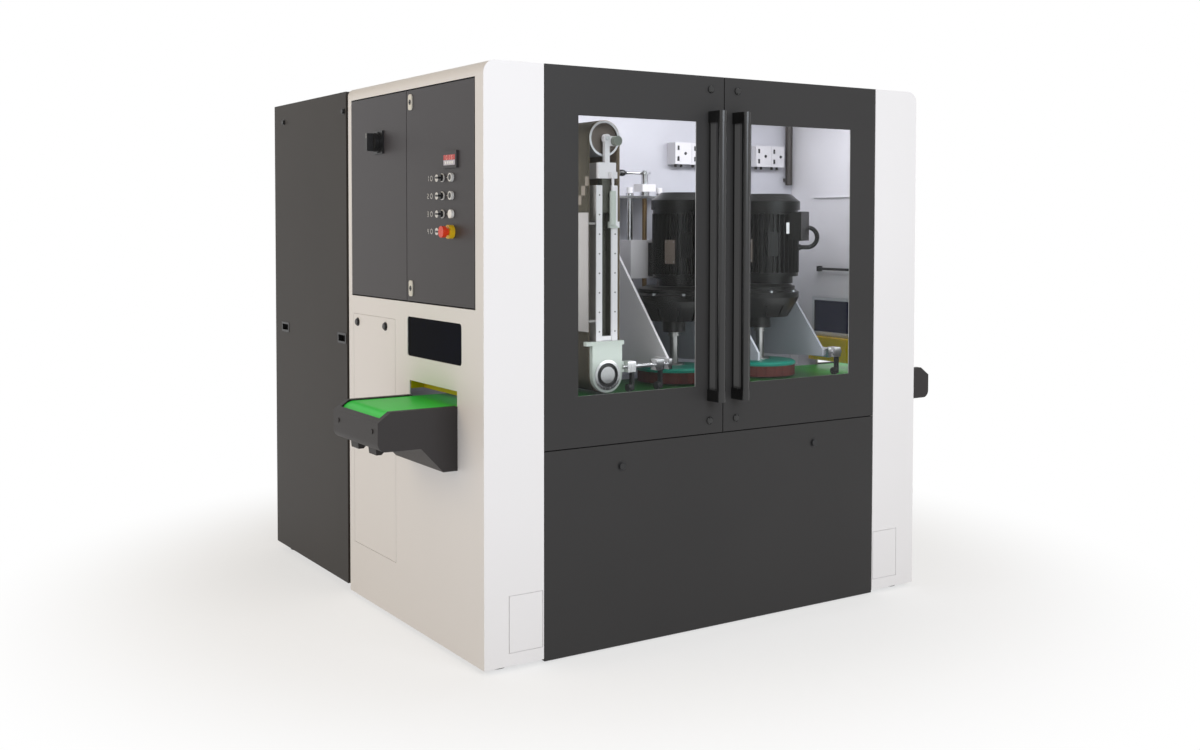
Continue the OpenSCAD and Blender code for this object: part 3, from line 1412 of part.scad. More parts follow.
// Finned motor with its fan cowl, terminal box, name plate and conduit
module finned_motor() {
  neck_h = bell_h - bell_shares[10].y * bell_h;
  translate([0, 0, body_z - neck_h]) cylinder(r = motor_r * foot_share, h = neck_h);
  translate([0, 0, body_z]) cylinder(r = motor_r * core_share, h = body_h);
  for (i = [0 : fin_n - 1]) rotate([0, 0, 360 * i / fin_n])
    span([motor_r * core_share - fin_t, -fin_t / 2, body_z + shield_h], [motor_r, fin_t / 2,
      cowl_z - shield_h]);
  for (z = [body_z, cowl_z - shield_h]) translate([0, 0, z]) cylinder(r = motor_r * shield_share,
    h = shield_h);
  translate([0, 0, cowl_z]) rotate_extrude() polygon([for (p = cowl_shares) [p.x * cowl_share * motor_r,
    p.y * cowl_h]]);
  rotate([0, 0, box_turn]) {
    span([motor_r * core_share, -box_w / 2, box_z], [motor_r + box_d, box_w / 2, box_z + box_h]);
    span([motor_r + box_d, -box_w / 2 - fin_t, box_z - fin_t], [motor_r + box_d + box_lid,
      box_w / 2 + fin_t, box_z + box_h + fin_t]);
  }
  rotate([0, 0, plate_turn]) span([motor_r * core_share, -plate_w / 2, plate_z], [motor_r + fin_t / 2,
    plate_w / 2, plate_z + plate_h]);
  conduit();
}

// Disc motor on its bell housing, with the foot that its carriage holds
module disc_motor(x) color("black") from_front() translate([x, line_y, 0]) difference() {
  union() {
    bell_housing();
    translate([motor_off, 0, 0]) finned_motor();
    span([motor_off - foot_half, 0, block_z0 + gusset_t], [foot_half, block_y0 - line_y,
      block_z1 - gusset_t]);
  }
  translate([0, 0, neck_z - overrun]) cylinder(r = spindle_r + shaft_fit, h = bell_h / 2 + overrun);
}
module motor_1() disc_motor(disc_1_x);
module motor_2() disc_motor(disc_2_x);

ring_r = [24, 21, 26];
ring_h = 5;

// Spindle with its shaft rings under the housing neck
module spindle(x) color("silver") from_front() translate([x, line_y, 0]) {
  translate([0, 0, hub_z1]) cylinder(r = spindle_r, h = neck_z + bell_h / 2 - hub_z1 - overrun);
  for (i = [0 : 2]) translate([0, 0, neck_z - run_gap - (i + 1) * ring_h]) cylinder(r = ring_r[i],
    h = ring_h);
  translate([0, 0, hub_z1]) cylinder(r = ring_r[2] + spindle_r, h = ring_h);
}
module spindle_1() spindle(disc_1_x);
module spindle_2() spindle(disc_2_x);

hub_shares = [[0, 0], [1, 0], [1, 0.45], [0.94, 0.75], [0.3, 1], [0, 1]];
lamella_n = 24;
lamella_cut = 3;

// Abrasive disc under its backing plate
module abrasive_disc(x) color("brown") from_front() translate([x, line_y, 0]) {
  difference() {
    translate([0, 0, disc_z0]) cylinder(r = disc_d / 2 - sheet, h = disc_t);
    translate([0, 0, disc_z0 - overrun]) cylinder(r = disc_d / 6, h = disc_t / 2);
    for (i = [0 : lamella_n - 1]) rotate([0, 0, 360 * i / lamella_n]) translate([disc_d / 2 - sheet, 0,
      disc_z0 - overrun])
      rotate([0, 0, 45]) translate([-lamella_cut / 2, -lamella_cut / 2, 0])
        cube([lamella_cut, lamella_cut, disc_t - sheet]);
  }
  translate([0, 0, disc_z1]) rotate_extrude() polygon([for (p = hub_shares) [p.x * disc_d / 2,
    p.y * hub_t]]);
}
module abrasive_disc_1() abrasive_disc(disc_1_x);
module abrasive_disc_2() abrasive_disc(disc_2_x);

crank_z = 1723;
crank_hub_r = 14;
crank_disc_r = 24;
crank_disc_t = 8;
crank_len = 92;
crank_r = 6;
crank_knob_r = 14;
crank_knob_l = 46;
screw_z0 = 1170;

// Crank with its oval knob, on the lead screw
module height_crank(x) color("silver") from_front() translate([x, slide_y, 0]) {
  cylinder_from(screw_z0, crank_z, screw_r);
  cylinder_from(indicator_z1 + run_gap, crank_z, crank_hub_r);
  cylinder_from(crank_z, crank_z + crank_disc_t, crank_disc_r);
  cylinder_from(crank_z + crank_disc_t, crank_z + 2 * crank_disc_t, screw_r);
  rod_x(-crank_len, 0, 0, crank_z + crank_disc_t / 2, crank_r);
  translate([-crank_len - crank_knob_l, 0, crank_z + crank_disc_t / 2]) rotate([0, 90, 0])
    rotate_extrude() polygon([for (i = [0 : 10]) let (t = i / 10) [crank_knob_r * pow(sin(180 * t), 0.6),
      crank_knob_l * (1.02 * t)]]);
}
module cylinder_from(z0, z1, r) translate([0, 0, z0]) cylinder(r = r, h = z1 - z0);
module height_crank_1() height_crank(disc_1_x);
module height_crank_2() height_crank(disc_2_x);

machine_frame();
levelling_feet();
left_side_shell();
right_side_shell();
roof_panel();
lower_front_panel();
panel_fittings();
service_covers();
side_window_panes();
rear_panels();
chamber_back_plate();
chamber_liner();
conveyor_bed();
feed_belt();
drive_roller();
idler_roller();
infeed_cover();
outfeed_cover();
slot_guards();
cabinet_box();
cabinet_gear();
cabinet_rear_door();
cabinet_front_door();
panel_indicators();
upper_door_lock();
lower_door_lock();
main_switch_base();
main_switch_knob();
estop_button();
selector_1();
selector_2();
selector_3();
selector_4();
push_button_1();
push_button_2();
left_front_door();
right_front_door();
left_door_pane();
right_door_pane();
left_door_handle();
right_door_handle();
door_hinges();
grinder_frame();
tension_yoke();
tracking_knob();
abrasive_belt();
contact_roller();
tension_roller();
grinder_motor();
slide_frames();
carriage_1();
carriage_2();
motor_1();
motor_2();
spindle_1();
spindle_2();
abrasive_disc_1();
abrasive_disc_2();
height_crank_1();
height_crank_2();
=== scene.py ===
import math

import bmesh
import bpy
from mathutils import Matrix, Vector


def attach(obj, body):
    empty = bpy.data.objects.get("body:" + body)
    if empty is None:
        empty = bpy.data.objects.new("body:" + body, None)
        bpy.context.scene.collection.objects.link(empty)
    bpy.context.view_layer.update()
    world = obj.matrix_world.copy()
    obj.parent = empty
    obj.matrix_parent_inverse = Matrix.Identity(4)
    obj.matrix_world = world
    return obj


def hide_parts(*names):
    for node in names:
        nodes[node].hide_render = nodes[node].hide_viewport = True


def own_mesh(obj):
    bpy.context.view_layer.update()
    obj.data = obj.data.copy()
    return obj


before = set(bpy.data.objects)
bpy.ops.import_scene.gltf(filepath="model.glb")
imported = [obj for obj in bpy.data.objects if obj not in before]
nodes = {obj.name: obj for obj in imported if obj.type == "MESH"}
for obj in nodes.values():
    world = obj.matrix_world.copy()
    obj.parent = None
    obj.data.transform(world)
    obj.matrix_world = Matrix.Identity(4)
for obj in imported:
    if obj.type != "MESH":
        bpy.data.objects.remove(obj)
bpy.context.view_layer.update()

# Viewpoint: standing left of the front corner, at eye height, looking almost level.
# The picture is cut from a larger one, so the horizon lies above its middle.
eye = (-3.046, -4.832, 1.5264)
view_yaw = math.radians(33.02)
view_tilt = math.radians(1.99)
view_roll = math.radians(0.078)
camera_data = bpy.data.cameras.new("viewpoint")
camera_data.lens = 39.057
camera_data.sensor_width = 36.0
camera_data.shift_y = -0.09
camera_data.clip_start = 0.05
camera_data.clip_end = 200.0
camera = bpy.data.objects.new("viewpoint", camera_data)
camera.matrix_world = (
    Matrix.Translation(eye)
    @ Matrix.Rotation(-view_yaw, 4, "Z")
    @ Matrix.Rotation(math.pi / 2 - view_tilt, 4, "X")
    @ Matrix.Rotation(view_roll, 4, "Z")
)
bpy.context.scene.collection.objects.link(camera)
bpy.context.scene.camera = camera

# Studio light: a dim warm dome, which the camera, mirror reflections and clear sheet see as plain white,
# a large cool lamp before the machine, a warm one on its left and three weak ones inside the chamber.
bpy.context.scene.view_settings.view_transform = "Standard"


def add_node(tree, kind, values=None, mode=None):
    node = tree.nodes.new(kind)
    if mode:
        node.operation = mode
    for socket, value in (values or {}).items():
        node.inputs[socket].default_value = value
    return node


def mix_shaders(tree, share, first, second, output="Material Output"):
    blend = tree.nodes.new("ShaderNodeMixShader")
    for i, source in enumerate((share, first.outputs[0], second.outputs[0])):
        tree.links.new(source, blend.inputs[i])
    tree.links.new(blend.outputs[0], tree.nodes[output].inputs["Surface"])


def soft_lamp(name, place, aim, size, power, colour):
    data = bpy.data.lights.new(name, "AREA")
    data.shape = "RECTANGLE"
    data.size, data.size_y = size
    data.energy = power
    data.color = colour
    lamp = bpy.data.objects.new(name, data)
    turn = (Vector(aim) - Vector(place)).to_track_quat("-Z", "Y")
    lamp.matrix_world = Matrix.Translation(place) @ turn.to_matrix().to_4x4()
    lamp.visible_camera = False
    bpy.context.scene.collection.objects.link(lamp)


world = bpy.data.worlds.new("studio")
bpy.context.scene.world = world
world.use_nodes = True
world_tree = world.node_tree
dome = world_tree.nodes["Background"]
dome.inputs["Color"].default_value = (1.0, 0.85, 0.66, 1.0)
dome.inputs["Strength"].default_value = 0.34
plain_white = {"Color": (1.0, 1.0, 1.0, 1.0), "Strength": 1.0}
white_ground = add_node(world_tree, "ShaderNodeBackground", plain_white)
rays = world_tree.nodes.new("ShaderNodeLightPath")
seen = rays.outputs["Is Camera Ray"]
for ray in ("Is Glossy Ray", "Is Transmission Ray"):
    either = add_node(world_tree, "ShaderNodeMath", mode="MAXIMUM")
    world_tree.links.new(seen, either.inputs[0])
    world_tree.links.new(rays.outputs[ray], either.inputs[1])
    seen = either.outputs[0]
mix_shaders(world_tree, seen, dome, white_ground, "World Output")
for lamp_row in (
    ("front_lamp", (-0.4, -5.6, 3.2), (0.0, -0.9, 1.0), (3.6, 2.6), 150, (0.86, 0.92, 1.0)),
    ("left_lamp", (-5.4, 0.6, 3.0), (-1.0, -0.3, 1.0), (2.6, 2.4), 42, (1.0, 0.76, 0.44)),
    ("chamber_lamp", (0.25, -0.86, 2.0), (0.3, -0.3, 1.5), (1.3, 0.1), 8.5, (0.97, 0.96, 1.0)),
    ("chamber_lamp_left", (-0.74, -0.6, 1.5), (0.4, -0.55, 1.35), (0.5, 0.8), 3.6, (1.0, 0.97, 0.98)),
    ("chamber_lamp_low", (0.1, -0.9, 1.02), (0.1, -0.3, 1.35), (1.4, 0.06), 0.6, (0.96, 0.98, 1.0)),
):
    soft_lamp(*lamp_row)

# Floor: white, running out into the white ground of the picture.
# It glows more with the distance from the machine, so that only the machine's own shadow stays on it.
floor_reach = 45.0
shadow_edge = 1.3
white_edge = 2.6
least_glow = 0.62


def new_material(name):
    mat = bpy.data.materials.new(name)
    mat.use_nodes = True
    return mat, mat.node_tree


def make_object(mesh, name, *mats):
    data = bpy.data.meshes.new(name)
    mesh.to_mesh(data)
    mesh.free()
    for mat in mats:
        data.materials.append(mat)
    piece = bpy.data.objects.new(name, data)
    bpy.context.scene.collection.objects.link(piece)
    return piece


floor_paint, floor_tree = new_material("white_floor")
floor_base = floor_tree.nodes["Principled BSDF"]
floor_base.inputs["Base Color"].default_value = (0.93, 0.93, 0.93, 1.0)
floor_base.inputs["Roughness"].default_value = 0.75
floor_base.inputs["Specular IOR Level"].default_value = 0.15
floor_glow = add_node(floor_tree, "ShaderNodeEmission", {"Strength": 1.0})
floor_place = floor_tree.nodes.new("ShaderNodeTexCoord")
floor_far = add_node(floor_tree, "ShaderNodeVectorMath", mode="LENGTH")
fade_range = {"From Min": shadow_edge, "From Max": white_edge, "To Min": least_glow}
floor_fade = add_node(floor_tree, "ShaderNodeMapRange", fade_range)
floor_fade.interpolation_type = "SMOOTHSTEP"
floor_tree.links.new(floor_place.outputs["Object"], floor_far.inputs[0])
floor_tree.links.new(floor_far.outputs["Value"], floor_fade.inputs["Value"])
mix_shaders(floor_tree, floor_fade.outputs["Result"], floor_base, floor_glow)
floor_mesh = bmesh.new()
bmesh.ops.create_grid(floor_mesh, x_segments=1, y_segments=1, size=floor_reach)
floor = make_object(floor_mesh, "floor", floor_paint)

# White side shells, roof and covers: bent steel sheet with a smooth white powder coat.
# The coat has a faint orange peel (fine noise) and drifts a little in shade over slow patches.


def colour_ramp(tree, *stops):
    ramp = tree.nodes.new("ShaderNodeValToRGB")
    elements = ramp.color_ramp.elements
    for position, _ in stops[1:-1]:
        elements.new(position)
    for element, (position, colour) in zip(elements, stops):
        element.position = position
        element.color = (*colour, 1.0)
    return ramp


def add_relief(tree, height, base, strength, distance):
    relief = add_node(tree, "ShaderNodeBump", {"Strength": strength, "Distance": distance})
    tree.links.new(height, relief.inputs["Height"])
    tree.links.new(relief.outputs["Normal"], base.inputs["Normal"])


def powder_coat(name, colour, roughness, peel, peel_size, drift=0.04, drift_size=1.4, gloss=0.5):
    mat, tree = new_material(name)
    base = tree.nodes["Principled BSDF"]
    base.inputs["Roughness"].default_value = roughness
    base.inputs["Specular IOR Level"].default_value = gloss
    place = tree.nodes.new("ShaderNodeTexCoord")
    slow = add_node(tree, "ShaderNodeTexNoise", {"Scale": drift_size, "Detail": 3.0})
    tree.links.new(place.outputs["Object"], slow.inputs["Vector"])
    dark = [c * (1 - drift) for c in colour]
    light = [min(1.0, c * (1 + drift)) for c in colour]
    shade = colour_ramp(tree, (0.3, dark), (0.7, light))
    tree.links.new(slow.outputs["Fac"], shade.inputs["Fac"])
    tree.links.new(shade.outputs["Color"], base.inputs["Base Color"])
    fine = add_node(tree, "ShaderNodeTexNoise", {"Scale": peel_size, "Detail": 2.0})
    tree.links.new(place.outputs["Object"], fine.inputs["Vector"])
    add_relief(tree, fine.outputs["Fac"], base, peel, 0.0006)
    return mat


def dress(mat, *names):
    for name in names:
        data = nodes[name].data
        data.materials.clear()
        data.materials.append(mat)


white_coat = powder_coat("white_powder_coat", (0.8, 0.79, 0.8), 0.42, 0.12, 260.0, drift=0.012, gloss=0.3)
dress(white_coat, "left_side_shell", "right_side_shell", "roof_panel", "service_covers")

# Dark doors and lower panel: the same sheet with a fine-textured charcoal coat.
# The cut edge round each window is painted light grey as a thin bright line: a painted highlight.
charcoal = (0.029, 0.028, 0.028)
charcoal_coat = powder_coat("charcoal_powder_coat", charcoal, 0.55, 0.55, 900.0, drift=0.06, gloss=0.25)
edge_highlight_paint = powder_coat("window_edge_coat", (0.5, 0.5, 0.5), 0.4, 0.2, 900.0, gloss=0.4)
dress(charcoal_coat, "lower_front_panel")


def dress_parts(name, rule, *mats):
    data = nodes[name].data
    data.materials.clear()
    for mat in mats:
        data.materials.append(mat)
    for face in data.polygons:
        face.material_index = int(rule(face.center, face.normal))


def at_window_edge(c, n):
    round_window = 0.1 < abs(c.x) < 0.675 and 0.885 < c.z < 1.93
    return round_window and abs(n.y) < 0.5 and c.y < -0.99


# Painted highlight: the edge faces round the windows take the light grey coat.
dress_parts("left_front_door", at_window_edge, charcoal_coat, edge_highlight_paint)
dress_parts("right_front_door", at_window_edge, charcoal_coat, edge_highlight_paint)

# Rear section: side panels, roof and louvred rear sheet.
# Their coat is warmer and browner than that of the doors.
warm_grey = (0.03, 0.026, 0.023)
warm_coat = powder_coat("warm_grey_powder_coat", warm_grey, 0.55, 0.5, 900.0, drift=0.08, gloss=0.3)
dress(warm_coat, "rear_panels")

# Cabinet doors: charcoal with a faint blue cast.
# A ramp along the height, multiplied into the coat, makes it warmer and darker towards the lower edge:
# painted shade.
blue_grey = (0.036, 0.033, 0.038)
shade_low_z = 1.2
shade_high_z = 1.9


def tint_along(mat, axis, start, end, stops, blend="LINEAR"):
    tree = mat.node_tree
    under = tree.nodes["Principled BSDF"].inputs["Base Color"]
    coat = under.links[0].from_socket
    place = tree.nodes.new("ShaderNodeTexCoord")
    axes = tree.nodes.new("ShaderNodeSeparateXYZ")
    share = add_node(tree, "ShaderNodeMapRange", {"From Min": start, "From Max": end})
    cast = colour_ramp(tree, *stops)
    cast.color_ramp.interpolation = blend
    tinted = tree.nodes.new("ShaderNodeMix")
    tinted.data_type = "RGBA"
    tinted.blend_type = "MULTIPLY"
    tinted.inputs["Factor"].default_value = 1.0
    tree.links.new(place.outputs["Object"], axes.inputs[0])
    tree.links.new(axes.outputs[axis], share.inputs["Value"])
    tree.links.new(share.outputs["Result"], cast.inputs["Fac"])
    tree.links.new(coat, tinted.inputs["A"])
    tree.links.new(cast.outputs["Color"], tinted.inputs["B"])
    tree.links.new(tinted.outputs["Result"], under)


blue_coat = powder_coat(
    "blue_grey_powder_coat", blue_grey, 0.42, 0.4, 700.0, drift=0.1, drift_size=0.9, gloss=0.35
)
# Painted shade: the ramp darkens and warms the coat towards the lower edge.
tint_along(blue_coat, "Z", shade_low_z, shade_high_z, ((0.0, (0.86, 0.8, 0.72)), (1.0, (1.0, 1.0, 1.0))))
dress(blue_coat, "cabinet_front_door", "cabinet_rear_door")

# Door panes: clear polycarbonate sheet that lets the light of the chamber through and mirrors a little.
# The side panes above the slots are the same sheet in a dark tint.


def clear_sheet(name, tint, mirror):
    mat, tree = new_material(name)
    tree.nodes.remove(tree.nodes["Principled BSDF"])
    through = add_node(tree, "ShaderNodeBsdfTransparent", {"Color": (*tint, 1.0)})
    skin = add_node(tree, "ShaderNodeBsdfGlossy", {"Color": (1.0, 1.0, 1.0, 1.0), "Roughness": 0.03})
    edge = add_node(tree, "ShaderNodeFresnel", {"IOR": 1.3})
    weaker = add_node(tree, "ShaderNodeMath", {1: mirror}, "MULTIPLY")
    tree.links.new(edge.outputs[0], weaker.inputs[0])
    mix_shaders(tree, weaker.outputs[0], through, skin)
    return mat


dress(clear_sheet("clear_pane_sheet", (0.97, 0.98, 0.98), 0.3), "left_door_pane", "right_door_pane")
dress(clear_sheet("tinted_pane_sheet", (0.05, 0.06, 0.11), 0.15), "side_window_panes")

# Black pieces: satin-painted door handles; knobs, grips, panel screws and switches in moulded plastic.
# The handles are the smoothest of them, so they carry a long narrow highlight.
moulded_black = (0.011, 0.011, 0.012)
satin_black = (0.008, 0.008, 0.008)
black_plastic = powder_coat(
    "black_moulded_plastic", moulded_black, 0.34, 0.25, 1400.0, drift=0.1, gloss=0.45
)
black_satin = powder_coat("black_satin_paint", satin_black, 0.24, 0.1, 500.0, drift=0.1, gloss=0.6)
dress(black_satin, "left_door_handle", "right_door_handle")
dress(black_plastic, "panel_fittings", "main_switch_base", "main_switch_knob")
dress(black_plastic, "selector_1", "selector_2", "selector_3", "selector_4", "push_button_1", "push_button_2")

# Infeed and outfeed noses: charcoal covers, yellow guards in the slots and the green feed belt.
# Inside the chamber the belt's green is multiplied down by a ramp along its run: painted shade.
nose_grey = (0.024, 0.021, 0.021)
belt_end_x = 1.3
nose_coat = powder_coat("nose_charcoal_coat", nose_grey, 0.5, 0.5, 900.0, drift=0.08, gloss=0.3)
dress(nose_coat, "infeed_cover", "outfeed_cover")
belt_green = powder_coat(
    "green_belt_cover", (0.022, 0.8, 0.07), 0.4, 0.18, 160.0, drift=0.1, drift_size=3.0, gloss=0.3
)
# Painted shade: the belt is darker along the part of its run inside the chamber.
chamber_shade_stops = ((0.0, 1.0), (0.14, 1.0), (0.17, 0.1), (0.74, 0.1), (0.83, 0.45), (1.0, 1.0))
tint_along(belt_green, "X", -belt_end_x, belt_end_x, [(at, (v, v, v)) for at, v in chamber_shade_stops], "EASE")
dress(belt_green, "feed_belt")
guard_yellow = powder_coat("guard_yellow_paint", (0.8, 0.54, 0.012), 0.5, 0.15, 300.0, gloss=0.12)
dress(guard_yellow, "slot_guards")

# Bare metal: turned, ground or zinc-plated steel and cast aluminium.
# One stretched noise gives the tool marks in colour, roughness and relief alike.


def bare_metal(name, colour, roughness, streak, depth=0.15):
    mat, tree = new_material(name)
    base = tree.nodes["Principled BSDF"]
    base.inputs["Metallic"].default_value = 1.0
    place = tree.nodes.new("ShaderNodeTexCoord")
    stretch = add_node(tree, "ShaderNodeMapping", {"Scale": streak})
    lines = add_node(tree, "ShaderNodeTexNoise", {"Scale": 1.0, "Detail": 4.0})
    tree.links.new(place.outputs["Object"], stretch.inputs["Vector"])
    tree.links.new(stretch.outputs[0], lines.inputs["Vector"])
    shade = colour_ramp(tree, (0.25, [c * 0.86 for c in colour]), (0.75, colour))
    tree.links.new(lines.outputs["Fac"], shade.inputs["Fac"])
    tree.links.new(shade.outputs["Color"], base.inputs["Base Color"])
    polish = add_node(tree, "ShaderNodeMapRange", {"To Min": roughness * 0.8, "To Max": roughness * 1.25})
    tree.links.new(lines.outputs["Fac"], polish.inputs["Value"])
    tree.links.new(polish.outputs["Result"], base.inputs["Roughness"])
    add_relief(tree, lines.outputs["Fac"], base, depth, 0.0003)
    return mat


ground_steel = bare_metal("ground_steel", (0.62, 0.62, 0.63), 0.25, (400.0, 400.0, 30.0))
turned_steel = bare_metal("turned_steel", (0.27, 0.27, 0.265), 0.3, (30.0, 30.0, 900.0))
zinc_steel = bare_metal("zinc_plated_steel", (0.5, 0.52, 0.55), 0.4, (40.0, 40.0, 40.0))
cast_aluminium = bare_metal("cast_aluminium", (0.55, 0.56, 0.57), 0.42, (120.0, 120.0, 120.0), 0.3)
screw_brown = bare_metal("oiled_lead_screw", (0.3, 0.19, 0.09), 0.35, (30.0, 30.0, 1200.0), 0.8)
dress(turned_steel, "spindle_1", "spindle_2")
dress(ground_steel, "drive_roller", "idler_roller")
dress(zinc_steel, "door_hinges")
dress(black_plastic, "upper_door_lock", "lower_door_lock")

# Chamber walls: pale sheet with a soft lavender-white coat in two copies, darker on the back plate and liner
# (painted shade), lighter on the side walls (painted light); service boxes white on dark plugs, a brown cable
# duct and a black air rod on the right wall.
shaded_wall_grey = (0.46, 0.46, 0.5)
lit_side_grey = (0.7, 0.69, 0.72)
wall_coat = powder_coat(
    "chamber_wall_shaded_coat", shaded_wall_grey, 0.4, 0.1, 200.0, drift=0.09, drift_size=2.4, gloss=0.4
)
side_wall_coat = powder_coat(
    "chamber_side_lit_coat", lit_side_grey, 0.4, 0.1, 200.0, drift=0.08, drift_size=2.4, gloss=0.4
)
box_white = powder_coat("service_box_white", (0.56, 0.55, 0.57), 0.35, 0.1, 600.0)
duct_brown = powder_coat("duct_brown", (0.022, 0.016, 0.013), 0.5, 0.2, 500.0)
dress(wall_coat, "chamber_back_plate")


def liner_part(c, n):
    wall, box, duct, plastic, side = range(5)
    if 0.93 < c.x < 0.983 and c.z > 1.69 and c.y > -0.285:
        return duct
    if 0.28 < c.x < 0.93 and 1.755 < c.z < 1.875 and c.y > -0.3:
        return duct if c.z < 1.7755 else box
    if 0.97 < c.x < 1.0075 and 1.3 < c.z < 1.33:
        return plastic
    # Painted light on the side walls, painted shade on the rest of the liner.
    return side if abs(c.x) > 0.995 else wall


dress_parts("chamber_liner", liner_part, wall_coat, box_white, duct_brown, black_plastic, side_wall_coat)

# Inner structure: grey-painted tube frame, conveyor bed and cabinet box, pale switchgear, rubber feet.
# Little of it shows, so the plain coats keep the default drift.
frame_coat = powder_coat("frame_grey_paint", (0.36, 0.37, 0.39), 0.45, 0.2, 200.0)
dress(frame_coat, "machine_frame", "conveyor_bed", "cabinet_box")
gear_plastic = powder_coat("switchgear_plastic", (0.5, 0.52, 0.54), 0.45, 0.2, 600.0)
dress(gear_plastic, "cabinet_gear")
foot_rubber = powder_coat("foot_rubber", (0.02, 0.02, 0.02), 0.7, 0.4, 400.0)
dress(foot_rubber, "levelling_feet")

# Pale pressed frames that hold the dark side panes against the inner walls.
# Each is a bevelled flat ring with six domed screws.
frame_pale = powder_coat("pane_frame_pale", (0.55, 0.57, 0.6), 0.4, 0.1, 400.0)
low_y, high_y, low_z, high_z = -0.845, -0.379, 1.017, 1.187
ring_width = 0.014
ring_back_x = 1.006
ring_front_x = 1.0035


def pane_loop(inset):
    left, right, bottom, top = low_y + inset, high_y - inset, low_z + inset, high_z - inset
    return [(left, bottom), (right, bottom), (right, top), (left, top)]


def join_loops(mesh, loops):
    for a, b in loops:
        for k in range(4):
            mesh.faces.new((a[k], a[(k + 1) % 4], b[(k + 1) % 4], b[k]))


def soften(mesh, edges, offset):
    return bmesh.ops.bevel(
        mesh, geom=edges, offset=offset, segments=2, profile=0.5, affect="EDGES", material=-1
    )


def screw_head(mesh, seat, sides, wide, narrow, tall, index=0):
    head = bmesh.ops.create_cone(
        mesh, cap_ends=True, segments=sides, radius1=wide, radius2=narrow, depth=tall, matrix=seat
    )
    for face in {f for v in head["verts"] for f in v.link_faces}:
        face.material_index = index


for side, name in ((-1, "left_pane_frame"), (1, "right_pane_frame")):
    ring = bmesh.new()
    loops = []
    section = (ring_back_x, 0), (ring_front_x, 0), (ring_front_x, ring_width), (ring_back_x, ring_width)
    for x, inset in section:
        loops.append([ring.verts.new((side * x, y, z)) for y, z in pane_loop(inset)])
    join_loops(ring, zip(loops, loops[1:] + loops[:1]))
    bmesh.ops.recalc_face_normals(ring, faces=ring.faces[:])
    soften(ring, ring.edges[:], 0.0006)
    half = ring_width / 2
    for y in (low_y + half, (low_y + high_y) / 2, high_y - half):
        for z in (low_z + half, high_z - half):
            seat = Matrix.Translation((side * 1.0028, y, z)) @ Matrix.Rotation(-side * math.pi / 2, 4, "Y")
            screw_head(ring, seat, 20, 0.004, 0.0022, 0.0022, 1)
    piece = make_object(ring, name, frame_pale, zinc_steel)
    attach(piece, "machine")

# Toggle clips and round blanking plugs on the fronts of the service boxes.
# Each box front has two clips, one above the other, and a plug beside them.
clip_size = (0.009, 0.0034, 0.02)


def edges_of(verts):
    return list(dict.fromkeys(e for v in verts for e in v.link_edges))


clips = bmesh.new()
for left, front in ((0.293, -0.29), (0.387, -0.284), (0.744, -0.29), (0.838, -0.284)):
    for z in (1.8, 1.846):
        place = Matrix.Translation((left + 0.016, front - 0.0015, z)) @ Matrix.Diagonal((*clip_size, 1.0))
        grip = bmesh.ops.create_cube(clips, size=1.0, matrix=place)
        soften(clips, edges_of(grip["verts"]), 0.0012)
    seat = Matrix.Translation((left + 0.055, front - 0.0015, 1.823)) @ Matrix.Rotation(math.pi / 2, 4, "X")
    screw_head(clips, seat, 28, 0.007, 0.0055, 0.0034)
clip_piece = make_object(clips, "service_box_clips", black_plastic)
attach(clip_piece, "machine")

# Belt grinding unit: column with white front strips and dark screws, its sides and the guard plate beside it
# in grey as painted shade, its slot and the yoke's part inside it dark as painted shade, pale green-grey
# bearing block and cylinder, white hold-down blocks on steel rods with black shoes.
front_y = -0.995
belt_unit_x = -0.4
contact_z = 0.958
tension_z = 1.834
unit_white = powder_coat("unit_white_paint", (0.68, 0.665, 0.68), 0.36, 0.12, 240.0, drift=0.03, gloss=0.4)
unit_shade_grey = powder_coat("unit_grey_paint", (0.26, 0.25, 0.24), 0.4, 0.12, 240.0, drift=0.08, gloss=0.35)
pale_green = (0.43, 0.47, 0.43)
unit_green = powder_coat("bearing_block_paint", pale_green, 0.38, 0.12, 240.0, drift=0.05, gloss=0.4)
slot_shade_and_screw_dark = powder_coat("column_slot_shade_and_screw_olive", (0.05, 0.05, 0.036), 0.5, 0.2, 240.0)
shoe_black = powder_coat("shoe_rubber", (0.02, 0.02, 0.021), 0.5, 0.3, 500.0)


def at_strip_screw(x, z):
    heights = [z - 1.084 - (i + 0.5) * 0.072125 for i in range(8)]
    return any(math.hypot(x - across, height) < 0.0032 for across in (-0.033, 0.036) for height in heights)


def grinder_part(c, n):
    white, grey, green, dark, steel, shoe = range(6)
    x, y, z = c.x - belt_unit_x, c.y - front_y, c.z
    if abs(y - 0.181) < 0.023 and abs(z - 0.985) < 0.0085 and x > 0.066:
        return steel
    if z < 0.95 and x > 0.08:
        return shoe
    if z < 1.0695 and abs(x) < 0.067:
        r = math.hypot(x, z - contact_z)
        if r < 0.0457 and y < 0.2:
            return shoe
        return steel if y < 0.1835 and r < 0.0575 else green
    if z < 1.0845 and abs(x) < 0.093:
        return green
    if z < 1.05:
        return white
    # Painted shade: the guard plate left of the column takes the grey coat.
    if x < -0.07:
        return grey
    if at_strip_screw(x, z):
        return dark
    if abs(x - 0.017) < 0.0125 and y < 0.1865 and 1.5 < z < 1.642:
        return green
    # Painted shade: the column's sides take the grey coat and its slot the dark one.
    if y < 0.1905:
        return white
    return dark if abs(x) < 0.0195 and y < 0.2255 else grey


grinder_mats = (unit_white, unit_shade_grey, unit_green, slot_shade_and_screw_dark, ground_steel, shoe_black)
dress_parts("grinder_frame", grinder_part, *grinder_mats)
